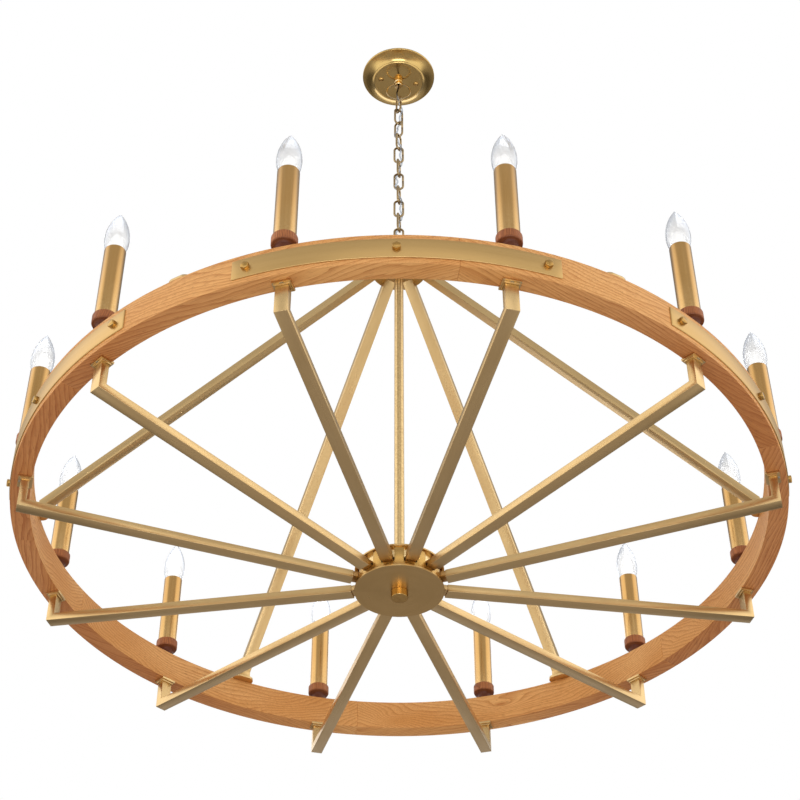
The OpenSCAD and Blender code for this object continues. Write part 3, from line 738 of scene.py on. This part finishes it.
def lying_board(tree, place):
    """The rim's grain lies along the chord of each block, and each block is another board."""
    x, y, z = parts_of(tree, place)
    turn = maths(tree, "ARCTAN2", y, x)
    sixth = maths(tree, "FLOOR", times_plus(tree, turn, 3 / math.pi, RIM_JOINT_SHARE))
    shift = times(tree, sixth, 0.37)
    facing = times(tree, maths(tree, "ADD", sixth, 0.5 - RIM_JOINT_SHARE), math.pi / 3)
    sine, cosine = maths(tree, "SINE", facing), maths(tree, "COSINE", facing)
    along = maths(tree, "SUBTRACT", times(tree, y, cosine), times(tree, x, sine))
    across = times_plus(tree, x, cosine, times(tree, y, sine))
    return vector_of(tree, maths(tree, "ADD", along, shift), across, maths(tree, "ADD", z, shift))


def standing_board(tree, place):
    x, y, z = parts_of(tree, place)
    return vector_of(tree, z, x, y)


RIM_JOINT = math.radians(8)
RIM_JOINT_SHARE = 0.5 - RIM_JOINT * 3 / math.pi
rim_wood = wooden(
    "rim_wood", lying_board, (0.8, 0.43, 0.15, 1), (0.64, 0.29, 0.075, 1), (0.4, 0.13, 0.024, 1),
    (0.2, 0.06, 0.014, 1), 1.0, 0.5)
rim_tree, rim_colour, boards = colour_of(rim_wood)
# Painted shade: the rim's downward faces are darkened towards the wheel's sides.
to_the_side = spread_out(rim_tree, parts_of(rim_tree, position(rim_tree))[0], 0.12, 0.4)
facing_down = parts_of(rim_tree, rim_tree.nodes.new("ShaderNodeNewGeometry").outputs["Normal"])[2]
painted_side_shade = times(rim_tree, to_the_side, spread(rim_tree, facing_down, -0.5, -0.9))
rim_tree.links.new(blended(rim_tree, painted_side_shade, boards, (0.72, 0.58, 0.54, 1), "MULTIPLY"), rim_colour)
# The cups have shade painted into their lower part, under the flare.
cup_wood = wooden(
    "cup_wood", standing_board, (0.52, 0.19, 0.055, 1), (0.34, 0.1, 0.028, 1), (0.1, 0.022, 0.006, 1),
    (0.04, 0.011, 0.005, 1), 2.0, 0.45, painted_low_shade=(rim_top + 0.012, rim_top + 0.0175))

# %% [markdown]
# ## Glass, plastic and light
# The bulbs are clear glass. Glass has no colour of its own; the grey rim of a bulb against
# white is the room bent round its edge, and a grey-blue shade painted onto the glass towards its
# edges, where it is also made less clear, darkens it further. The lamps are lit, so the filament
# is a small bright thing, and a milky film of light fills the lower half.


# %% Bulb materials
glass, glass_tree, glass_shader = start_material("bulb_glass")
glass_place = position(glass_tree)
glass_ripple = noise(glass_tree, stretched(glass_tree, glass_place, (160, 160, 30)), 1.0, 1.0)
relief(glass_tree, glass_shader, glass_ripple, 0.04, 0.0004)
# Painted shade on the glass: a grey-blue tint and less clearness towards its edges as seen.
facing = glass_tree.nodes.new("ShaderNodeLayerWeight")
facing.inputs["Blend"].default_value = 0.5
painted_rim_shade = spread(glass_tree, facing.outputs["Facing"], 0.04, 0.7)
feed(glass_tree, glass_shader, Transmission_Weight=1.0, IOR=1.46,
     Roughness=times_plus(glass_tree, glass_ripple, 0.06, 0.03),
     Base_Color=blended(glass_tree, painted_rim_shade, (0.94, 0.95, 0.97, 1), (0.5, 0.55, 0.66, 1)),
     Alpha=spread(glass_tree, painted_rim_shade, 0.0, 1.0, 0.25, 0.9))


def glowing(name, colour, strength, fade=None):
    material, tree, shader = start_material(name)
    feed(tree, shader, Base_Color=(0.02, 0.02, 0.02, 1), Roughness=0.6, Specular_IOR_Level=0.0,
         Emission_Strength=strength)
    place = position(tree)
    glow = colour
    if fade:
        z = parts_of(tree, place)[2]
        streak = noise(tree, stretched(tree, place, (700, 700, 25)), 1.0, 1.0)
        fall = spread(tree, z, fade[0], fade[1], 1.0, 0.0)
        soft = times(tree, times(tree, fall, fall), spread(tree, streak, 0.2, 0.8, 0.75, 1.0))
        feed(tree, shader, Alpha=times(tree, soft, 0.97))
        glow = blended(tree, fall, (1.0, 0.86, 0.7, 1), colour)
    patch = noise(tree, place, 300.0)
    feed(tree, shader, Emission_Color=blended(tree, times(tree, patch, 0.5), glow, (1, 1, 1, 1)))
    return material


filament_glow = glowing("filament", (1.0, 0.83, 0.5, 1), 4.0)
film_glow = glowing("lit_film", (1.0, 0.98, 0.95, 1), 1.03, fade=(sleeve_top + 0.012, sleeve_top + 0.062))


def plain(name, light, dark, scale, roughness, **values):
    material, tree, shader = start_material(name)
    place = position(tree)
    patch = noise(tree, place, scale, 3.0, 0.6)
    rough = spread(tree, patch, 0.2, 0.8, roughness - 0.06, roughness + 0.08)
    feed(tree, shader, Base_Color=blended(tree, patch, light, dark), Roughness=rough, **values)
    return material


cord_sheath = plain(
    "cord_sheath", (0.6, 0.64, 0.7, 1), (0.5, 0.54, 0.6, 1), 90.0, 0.2, Transmission_Weight=0.9, IOR=1.15)
cord_tree, cord_colour, clear = colour_of(cord_sheath)
chain_top = high("chain_link_01").z
cord_height = parts_of(cord_tree, position(cord_tree))[2]
above = spread(cord_tree, cord_height, chain_top - 0.012, chain_top + 0.004)
cord_tree.links.new(blended(cord_tree, above, clear, (0.1, 0.07, 0.04, 1)), cord_colour)
holder_plastic = plain("holder_plastic", (0.82, 0.79, 0.7, 1), (0.72, 0.69, 0.6, 1), 60.0, 0.5)
print("materials:", len(bpy.data.materials))

# %% [markdown]
# ## Floor
# A hanging lamp needs no floor, but a pale one far below shows the shadow in views from above.
# Metal mirrors it as darker, with pale strips beside the wheel, a lit strip in front of it and
# dark far corners.

# %% Floor
FLOOR_Z = -4.6
deselect()
bpy.ops.mesh.primitive_plane_add(size=24, location=(0, 0, FLOOR_Z))
floor = named("floor")
bpy.ops.object.transform_apply(location=True)
floor_finish = plain("pale_floor", (0.8, 0.79, 0.77, 1), (0.76, 0.75, 0.73, 1), 3.0, 0.7)
floor_tree, floor_colour, pale = colour_of(floor_finish)
floor_shader = floor_tree.nodes["Principled BSDF"]
mirrored = floor_tree.nodes.new("ShaderNodeLightPath").outputs["Is Glossy Ray"]
x, y, z = parts_of(floor_tree, position(floor_tree))
beside = times(floor_tree, spread_out(floor_tree, x, 1.6, 3.0), spread(floor_tree, y, 0.5, 2.0, 1.0, 0.0))
far_corner = times(floor_tree, spread_out(floor_tree, x, 2.5, 4.5), spread(floor_tree, y, 2.0, 4.0))
behind = blended(floor_tree, far_corner, (0.42, 0.395, 0.4, 1), (0.1, 0.09, 0.08, 1))
shown = blended(floor_tree, beside, behind, (0.95, 0.92, 0.88, 1))
strip = times(floor_tree, spread(floor_tree, y, -7.0, -6.0), spread(floor_tree, y, -2.8, -2.0, 1.0, 0.0))
in_front = times(floor_tree, spread_out(floor_tree, x, 1.2, 2.0, 1.0, 0.0), strip)
lit = times_plus(floor_tree, in_front, 2.0, times(floor_tree, beside, 0.6))
feed(floor_tree, floor_shader, Emission_Strength=times(floor_tree, lit, mirrored),
     Emission_Color=(0.92, 0.97, 1.0, 1))
floor_tree.links.new(blended(floor_tree, mirrored, pale, shown), floor_colour)
floor.data.materials.append(floor_finish)

# %% [markdown]
# ## Rim
# The rim is glued up from six curved blocks that meet under the straps. One block is a
# rectangle spun through 60 degrees, with its edges eased as with a plane, and the others are
# turned copies. Because each block is a piece of its own, the grain can change at the joints.

# %% Rim blocks
RIM_OUTER = 0.600
RIM_INNER = 0.570
block = bent_bar("rim_block_1", RIM_INNER, RIM_OUTER, rim_z, rim_top, RIM_JOINT,
                 math.radians(60), 0.0008, 48)
blocks = [block] + [copy_of(block, f"rim_block_{i}") for i in range(2, 7)]
for i, (piece, node) in enumerate(zip(blocks, rim_nodes)):
    turn_mesh(piece, math.radians(60 * i))
    finish_piece(piece, "wheel", "rim_wood", rim_wood, node)
print("rim:", len(blocks), "blocks of", len(block.data.polygons), "faces")

# %% [markdown]
# ## Straps and bolts
# Each strap is a thin brass band over a joint, held by three hexagonal bolts. The bolt's head is
# a six-sided cylinder whose outer face is bevelled, as a turned bolt's is.

# %% Straps
STRAP_FACE = 0.602
STRAP_HALF = math.radians(21.5)
STRAP_EDGE = 0.0013
strap = bent_bar("strap_bands", RIM_OUTER - STRAP_EDGE, STRAP_FACE, low("rim_straps").z,
                 high("rim_straps").z, -STRAP_HALF, 2 * STRAP_HALF, STRAP_EDGE, 40)
ring_of(strap, strap_turns)
finish_piece(strap, "wheel", "satin_brass", strap_brass, "rim_straps")

# %% Bolts
BOLT_HEAD_R = 0.0055 / math.cos(math.pi / 6)
BOLT_HEAD_H = 0.006
BOLT_TURN = math.radians(19.5)
bolt_turns = [turn + side * BOLT_TURN for turn in strap_turns for side in (-1, 0, 1)]
deselect()
bpy.ops.mesh.primitive_cylinder_add(
    vertices=6, radius=BOLT_HEAD_R, depth=BOLT_HEAD_H, rotation=(math.pi / 2, 0, 0),
    location=(0, -STRAP_FACE - BOLT_HEAD_H / 2, (rim_z + rim_top) / 2))
bolt = named("bolt_heads")
bpy.ops.object.transform_apply(location=True, rotation=True)
edit(bolt)
select_where(bolt, lambda co: co.y < -STRAP_FACE - 0.005)
bpy.ops.mesh.bevel(offset=0.0011, segments=2, affect="EDGES")
done()
round_edges(bolt, 0.00025, 2)
ring_of(bolt, bolt_turns)
finish_piece(bolt, "wheel", "bright_brass", drum_brass, "strap_bolts")
print("bolts:", len(bolt_turns))

# %% [markdown]
# ## Arms and collars
# The arms are rectangular tubes, mitred at the corner and brazed, and each stands in a stepped
# collar under the rim. The solids already have these forms, so rounded copies of them show how
# the light runs along every edge of a tube.

# %% Arms
for name, node, radius, finish in (
        ("arm_tubes", "arms", 0.0008, arm_brass),
        ("arm_collars_under_rim", "arm_collars", 0.0005, arm_brass),
        ("spoke_tubes", "upper_spokes", 0.0008, spoke_brass)):
    piece = eased(name, node, radius)
    finish_piece(piece, "wheel", "satin_brass", finish, node)
    print(name, len(piece.data.polygons), "faces")

# %% [markdown]
# ## Candles
# A cup is turned wood: a neck, a curve outwards and a rounded top with a seat for the sleeve. The
# sleeve is a thin brass tube. Both are profiles turned once, moved out to the rim, and copied.


# %% Cups and sleeves
def moved_out(piece, radius):
    piece.data.transform(Matrix.Translation((0, -radius, 0)))
    return piece


cup_top = high("candle_cups").z
neck = [(0.011, rim_top), (0.0112, rim_top + 0.0006), (0.011, rim_top + 0.006)]
flare = [(0.011 + 0.0062 * (1 - math.cos(t)), rim_top + 0.0085 + 0.0055 * math.sin(t))
         for t in (math.radians(15 * k) for k in range(7))]
shoulder = arc(0.0155, rim_top + 0.0172, 0.003, -75, 0)
lip = arc(0.017, cup_top - 0.0015, 0.0015, 0, 90)
seat = [(0.0162, cup_top), (0.0161, cup_top - 0.0003), (0.0161, sleeve_low), (0.0042, sleeve_low),
        (0.0042, rim_top), (0.011, rim_top)]
cup = moved_out(turned("candle_cups_turned", neck + flare + shoulder + lip + seat, 72), candle_r)
ring_of(cup, candle_turns)
finish_piece(cup, "wheel", "cup_wood", cup_wood, "candle_cups")

SLEEVE_R = 0.016
SLEEVE_BORE = SLEEVE_R - 0.001
SLEEVE_EDGE = 0.0005
edge_z = sleeve_top - SLEEVE_EDGE
sleeve = turned("candle_tubes", [(SLEEVE_R, sleeve_low), (SLEEVE_R, edge_z)]
                + arc(SLEEVE_R - SLEEVE_EDGE, edge_z, SLEEVE_EDGE, 20, 160, 6)
                + [(SLEEVE_BORE, edge_z), (SLEEVE_BORE, sleeve_low), (SLEEVE_R, sleeve_low)], 96)
ring_of(moved_out(sleeve, candle_r), candle_turns)
finish_piece(sleeve, "wheel", "satin_brass", upright_brass, "candle_sleeves")

holder = eased("lamp_sockets", "lamp_holders", 0.0005)
finish_piece(holder, "wheel", "holder_plastic", holder_plastic, "lamp_holders")
print("candles:", len(candle_turns))

# %% [markdown]
# ## Bulbs
# A candle bulb is a glass flame with a screw cap. The shell is a closed wall, so that the glass
# bends the room round its edge. Inside stand a glass stem and a bent filament, and a film of light
# stands for the glow of the lit lamp. Each bulb has its own copies, because each one unscrews.

# %% One bulb
GLASS_R = 0.0185
GLASS_H = high("bulb_01").z - sleeve_top
cap_low = low("bulb_01").z
glass_low = cap_low + 0.016


def flame(share, inside=0.0):
    """Radius of the glass at a share of its height: a round belly and a drawn-out tip."""
    belly = 0.3
    if share < belly:
        return GLASS_R * math.sqrt(1 - (0.7 * (1 - share / belly)) ** 2) - inside
    return GLASS_R * (1 - ((share - belly) / (1 - belly)) ** 2.1) - inside


WALL = 0.0006
shares = [k / 36 for k in range(36)]
outer = [(0.0064, glass_low), (0.0065, glass_low + 0.003)]
outer += [(flame(u), sleeve_top + u * GLASS_H) for u in shares]
glass_tip = high("bulb_01").z
TIP = ((0.0014, 0.0011), (0.001, 0.0005), (0.0005, 0.0002), (POLE, 0.0001))
outer += [(r, glass_tip - below) for r, below in TIP]
inner = [(max(flame(u, WALL), POLE), sleeve_top + u * GLASS_H) for u in shares if flame(u, WALL) > 0.0003]
inner_top = inner[-1][1] + 0.0008
inner = [(0.0058, glass_low + 0.001), (0.0059, glass_low + 0.003)] + inner + [(POLE, inner_top)]
shell = turned("glass_01", outer, 64)
lining = turned("glass_lining", inner, 64)
edit(lining)
bpy.ops.mesh.flip_normals()
done()
choose(shell, lining)
bpy.ops.object.join()

cap_profile = [(POLE, cap_low), (0.0022, cap_low), (0.0026, cap_low + 0.0008), (0.0048, cap_low + 0.0016),
               (0.0056, cap_low + 0.0024)]
for k in range(5):
    z = cap_low + 0.003 + 0.0022 * k
    cap_profile += [(0.006, z), (0.006, z + 0.0006), (0.0055, z + 0.0012), (0.0055, z + 0.0016)]
cap_profile += [(0.006, glass_low - 0.0008), (0.006, glass_low), (0.0064, glass_low + 0.001),
                (0.0055, glass_low + 0.0012), (POLE, glass_low + 0.0012)]
cap = turned("bulb_cap_01", cap_profile, 48)

pinch = sleeve_top + 0.012
stem_profile = [(0.0046, glass_low + 0.0014), (0.0034, glass_low + 0.006), (0.0019, glass_low + 0.014),
                (0.0013, pinch - 0.004), (0.0016, pinch - 0.001), (0.001, pinch), (POLE, pinch + 0.0002)]
pillar = turned("bulb_stem_01", [(POLE, glass_low + 0.0014)] + stem_profile, 32)

deselect()
bpy.ops.curve.primitive_bezier_curve_add()
filament = named("filament_01")
points = filament.data.splines[0].bezier_points
FILAMENT = ((-0.0012, -0.002), (-0.0052, 0.007), (0.0, 0.013), (0.0052, 0.007), (0.0012, -0.002))
points.add(len(FILAMENT) - 2)
for k, (x, z) in enumerate(FILAMENT):
    points[k].co = (x, 0.0006 * (-1) ** k, pinch + z)
    points[k].handle_left_type = points[k].handle_right_type = "AUTO"
filament.data.bevel_depth = 0.0003
filament.data.bevel_resolution = 2
filament.data.resolution_u = 10
choose(filament)
bpy.ops.object.convert(target="MESH")
filament = named("filament_01")
edit(filament)
bpy.ops.mesh.fill_holes(sides=0)
done()

film_profile = [(flame(k / 30, 0.0018), sleeve_top + k / 30 * GLASS_H) for k in range(25)]
film = turned("lit_film_01", film_profile, 48)

# %% Twelve bulbs
bulb_parts = (
    (shell, "glass", "bulb_glass", glass), (cap, "bulb_cap", "bulb_glass", upright_brass),
    (pillar, "bulb_stem", "bulb_glass", glass), (filament, "filament", "bulb_glass", filament_glow),
    (film, "lit_film", "bulb_glass", film_glow))
for part, word, slot_name, finish in bulb_parts:
    moved_out(part, candle_r)
    copies = [part] + [copy_of(part, f"{word}_{i:02d}") for i in range(2, 13)]
    for piece, turn, node in zip(copies, candle_turns, bulb_nodes):
        turn_mesh(piece, turn)
        finish_piece(piece, node, slot_name, finish, *([node] if word == "glass" else []))
print("bulb:", sum(len(p.data.polygons) for p, *_ in bulb_parts), "faces each")

# %% [markdown]
# ## Hubs
# The lower hub is a polished drum between two brushed plates, with a slot in it for each arm.
# Plates, finial, upper hub and stem are all turned. The brushing on the plates runs round them,
# which is what draws a bright fan out of any lamp that they mirror.


# %% Plates, finial and upper hub
def disc(name, radius, bottom, top, edge):
    rings = [radius * share for share in (0.15, 0.4, 0.65, 0.85, 0.96)]
    return turned(name, [(POLE, bottom)] + [(r, bottom) for r in rings]
                  + arc(radius - edge, bottom + edge, edge, -90, 0)
                  + arc(radius - edge, top - edge, edge, 0, 90)
                  + [(r, top) for r in reversed(rings)] + [(POLE, top)], 160)


for name, node, edge in (
        ("lower_plate", "hub_bottom_plate", 0.0007), ("upper_plate", "hub_top_plate", 0.0007),
        ("spoke_hub", "upper_hub", 0.0014)):
    piece = disc(name, high(node).x, low(node).z, high(node).z, edge)
    finish_piece(piece, "wheel", "satin_brass", turned_brass, node)

knob_low, knob_top = low("finial").z, high("finial").z
knob = turned("finial_knob", [(POLE, knob_low)] + arc(0.0125, knob_low + 0.0008, 0.0008, -90, 0)
              + [(0.0133, knob_top - 0.0016), (0.0128, knob_top - 0.0012), (0.0128, knob_top - 0.0006),
                 (0.0135, knob_top - 0.0004), (0.0135, knob_top), (POLE, knob_top)], 96)
finish_piece(knob, "wheel", "bright_brass", knob_brass, "finial")

for name, node, radius, slot, finish in (
        ("slotted_drum", "hub_drum", 0.0005, "bright_brass", drum_brass),
        ("top_loop", "hub_loop", 0.0006, "chain_brass", chain_brass),
        ("hub_cap_screws", "hub_screws", 0.0005, "satin_brass", drum_brass),
        ("foot_wood_screws", "foot_screws", 0.0004, "satin_brass", drum_brass)):
    finish_piece(eased(name, node, radius), "wheel", slot, finish, node)
print("hubs: 4 turned pieces and 4 rounded solids")

# %% [markdown]
# ## Canopy
# A spun dish: a rolled lip at the ceiling, a hollow sweep inwards, and a raised ring round a flat
# face. Its light is all in that profile, so the profile has more steps than the solid.

# %% Canopy
CANOPY_R = 0.071
sweep = [(0.0698 - 0.0208 * math.sin(t), face_z + 0.0011 + 0.0057 * (math.cos(t) + 1 - math.sin(t)))
         for t in (math.radians(6 * k) for k in range(16))]
inside = [(0.0695 - 0.0205 * math.sin(t), face_z + 0.0028 + 0.0122 * math.cos(t))
          for t in (math.radians(90 - 9 * k) for k in range(11))]
lip = [(CANOPY_R - 0.0004, 0.0), (CANOPY_R, -0.0006)] + arc(CANOPY_R - 0.0014, -0.0026, 0.0014, 0, -110)
ridge = arc(0.0472, face_z + 0.0012, 0.0012, -20, -160, 8)
face_radii = (0.0452, 0.0447, 0.043, 0.036, 0.027, 0.018, 0.011, 0.0085, 0.0054)
face_rings = [(r, face_z + 0.001) for r in face_radii]
canopy = turned("canopy_dish", lip + sweep + ridge + face_rings
                + [(0.0054, face_z + 0.0024), (0.0455, face_z + 0.0024)] + inside
                + [(0.0695, 0.0), (CANOPY_R - 0.0004, 0.0)], 160)
finish_piece(canopy, "ceiling_mount", "satin_brass", spun_brass, "canopy", smooth=40)

for name, node, radius in (
        ("canopy_cap_screws", "canopy_screws", 0.0004), ("canopy_neck", "canopy_collar", 0.0005)):
    piece = eased(name, node, radius)
    finish_piece(piece, "ceiling_mount", "satin_brass", knob_brass, node)

# %% [markdown]
# ## Chain
# A link is wire bent into a long oval whose ends meet in a butt joint. A torus is pulled apart at
# its middle for the oval, and three cuts across one side make the joint's small groove. The links
# are copies, turned as the joints between them lie: each link swings about its own plane.


# %% Links
def wire_ring(name, radius, wire, stretch, top):
    """An upright oval of round wire, hung from the top of its wire's centre line."""
    deselect()
    bpy.ops.mesh.primitive_torus_add(
        major_radius=radius, minor_radius=wire, major_segments=48, minor_segments=20,
        rotation=(math.pi / 2, 0, 0))
    piece = named(name)
    bpy.ops.object.transform_apply(rotation=True)
    edit(piece)
    select_where(piece, lambda co: co.z > 1e-4)
    bpy.ops.transform.translate(value=(0, 0, stretch))
    select_where(piece, lambda co: co.x > 0)
    groove = stretch / 2 if stretch else 0.0006
    for height in (-0.0003, 0, 0.0003):
        bpy.ops.mesh.bisect(plane_co=(0, 0, groove + height), plane_no=(0, 0, 1))
        select_where(piece, lambda co: co.x > 0)
    select_where(piece, lambda co: co.x > 0 and abs(co.z - groove) < 5e-5)
    bpy.ops.transform.resize(value=(0.9, 0.9, 1), center_override=(radius, 0, groove))
    done()
    piece.data.transform(Matrix.Translation((0, 0, top - radius - stretch)))
    return piece


joint_of = {joint["name"]: joint for joint in frame["joints"]}
swings = [joint_of[f"link_{i:02d}_swing"] for i in range(2, 13)] + [joint_of["wheel_swing"]]
LINK_R, LINK_WIRE = 0.008, 0.002
link_top = high("chain_link_01").z - LINK_WIRE
straight = high("chain_link_01").z - low("chain_link_01").z - 2 * LINK_WIRE - 2 * LINK_R
link = wire_ring("link_wire_01", LINK_R, LINK_WIRE, straight, 0.0)
links = [link] + [copy_of(link, f"link_wire_{i:02d}") for i in range(2, 13)]
for i, (piece, node, swing) in enumerate(zip(links, link_nodes, swings)):
    side = Vector(swing["axis"])
    turn_mesh(piece, math.atan2(side.y, side.x))
    piece.data.transform(Matrix.Translation((0, 0, high(node).z - LINK_WIRE)))
    finish_piece(piece, f"link_{i + 1:02d}", "chain_brass", chain_brass, node, smooth=60)

ring_box = low("suspension_ring"), high("suspension_ring")
ring_wire = (ring_box[1].y - ring_box[0].y) / 2
ring_r = (ring_box[1].x - ring_box[0].x) / 2 - ring_wire
hanging_ring = wire_ring("hanging_ring", ring_r, ring_wire, 0.0, ring_box[1].z - ring_wire)
finish_piece(hanging_ring, "suspension_ring", "chain_brass", chain_brass, "suspension_ring", smooth=60)
print("links:", len(links), f"straight part {straight:.4f} m")

# %% [markdown]
# ## Supply cord
# The cord comes out of the canopy's collar and is woven down the chain, through each link and
# round the next joint. It is held at every link, so it can't hang free: it is one smooth tube cut
# at the middle of every link.

# %% The cord's route
CORD_R = 0.0016
ring_hole_z = joint_of["ring_swing"]["pos_m"][2]
link_mid = link_top - (straight + 2 * LINK_R) / 2
PITCH = high("chain_link_01").z - high("chain_link_02").z
sides = [math.degrees(math.atan2(s["axis"][1], s["axis"][0])) for s in swings]


def plane_turn(i):
    return sides[i - 1] if 1 <= i <= 12 else 0.0


def woven(s):
    """Point of the path at s: whole numbers are the middles of the links."""
    i = math.floor(s)
    t = s - i
    turn = math.radians(pass_turns[i] + t * ((plane_turn(i + 1) - plane_turn(i) + 360) % 180))
    r = 0.002 + 0.0055 * math.sin(math.pi * t) ** 2
    return (r * math.cos(turn), r * math.sin(turn), link_mid - (s - 1) * PITCH)


pass_turns = [-180.0]
for i in range(1, 14):
    pass_turns.append(pass_turns[-1] + (plane_turn(i) - plane_turn(i - 1) + 360) % 180)
boss_top = high("hub_loop").z - 0.0205
start = ((0, 0, -1), (0, 0, -6), (0, -0.5, -11), (0, -1, -15), (0, -1.5, -18.6), (0, -2.6, -21),
         (0, -3.4, -23.2), (0, -3.5, -26), (0, -3.6, -31), (0, -4, -37), (-1, -5, -45),
         (-2, -6, -53), (-3.2, -6.8, -60))
route = [Vector(p) * MM for p in start]
route += [Vector(woven(0.5 + (k + 0.5) / 5)) for k in range(60)]
route += [Vector((0.0025, -0.0074, boss_top + 0.012)), Vector((0.0006, -0.0078, boss_top + 0.006)),
          Vector((0, -0.0078, boss_top)), Vector((0, -0.0078, boss_top - 0.005))]


def smooth_route(points, steps=5):
    """A smooth curve through all the points."""
    ends = [2 * points[0] - points[1]] + points + [2 * points[-1] - points[-2]]
    out = []
    for a, b, c, d in zip(ends, ends[1:], ends[2:], ends[3:]):
        for k in range(steps):
            t = k / steps
            out.append(0.5 * (2 * b + (c - a) * t + (2 * a - 5 * b + 4 * c - d) * t * t
                              + (3 * b - a - 3 * c + d) * t ** 3))
    return out + [points[-1]]


# %% The cord's pieces
path = smooth_route(route)
deselect()
bpy.ops.curve.primitive_nurbs_path_add()
cord = named("cord_part_01")
cord.data.splines.clear()
spline = cord.data.splines.new("POLY")
spline.points.add(len(path) - 1)
for point, place in zip(spline.points, path):
    point.co = (*place, 1)
cord.data.bevel_depth = CORD_R
cord.data.bevel_resolution = 4
cord.data.use_fill_caps = True
choose(cord)
bpy.ops.object.convert(target="MESH")
cord = named("cord_part_01")
cuts = [(ring_hole_z + low("suspension_ring").z + ring_wire) / 2] + [link_mid - k * PITCH for k in range(12)]
crossed = [joint_of["ring_swing"], joint_of["link_01_swing"]] + swings
cord_pieces = []
rest = cord
for k, height in enumerate(cuts):
    edit(rest)
    select_where(rest, lambda co: co.z > height)
    bpy.ops.mesh.separate(type="SELECTED")
    done()
    part = next(o for o in bpy.context.selected_objects if o is not rest)
    part.name = f"cord_length_{k + 1:02d}"
    part.data.name = part.name
    cord_pieces.append(part)
rest.name = "cord_length_14"
cord_pieces.append(rest)
for k, (piece, joint) in enumerate(zip(cord_pieces, crossed)):
    choose(piece)
    bpy.ops.object.transform_apply(location=True, rotation=True, scale=True)
    bpy.ops.object.shade_smooth()
    piece.data.materials.clear()
    piece.data.materials.append(cord_sheath)
    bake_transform(piece)
    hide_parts("supply_cord")
length = sum((b - a).length for a, b in zip(path, path[1:]))
print("cord:", len(cord_pieces), f"lengths, {length:.3f} m in all")

# %% [markdown]
# ## What stays from the solids
# Nuts, rods, the crossbar and the tubes inside are seen only from above or not at all. They keep
# their solids and get a plated finish. The stem's solid is a plain tube, as the real one is.

# %% Finishes for the solids
for node, finish in [("stem", stem_brass), ("hub_spacer", drum_brass)] + [
        (n, zinc) for n in ("crossbar", "nipple", "nipple_nut", "tie_tube", "candle_rods", "cup_nuts")]:
    solid = frame["nodes"][node]
    solid.data.materials.clear()
    solid.data.materials.append(finish)

# %% [markdown]
# ## Size and finish

# %% Size and finish
import json
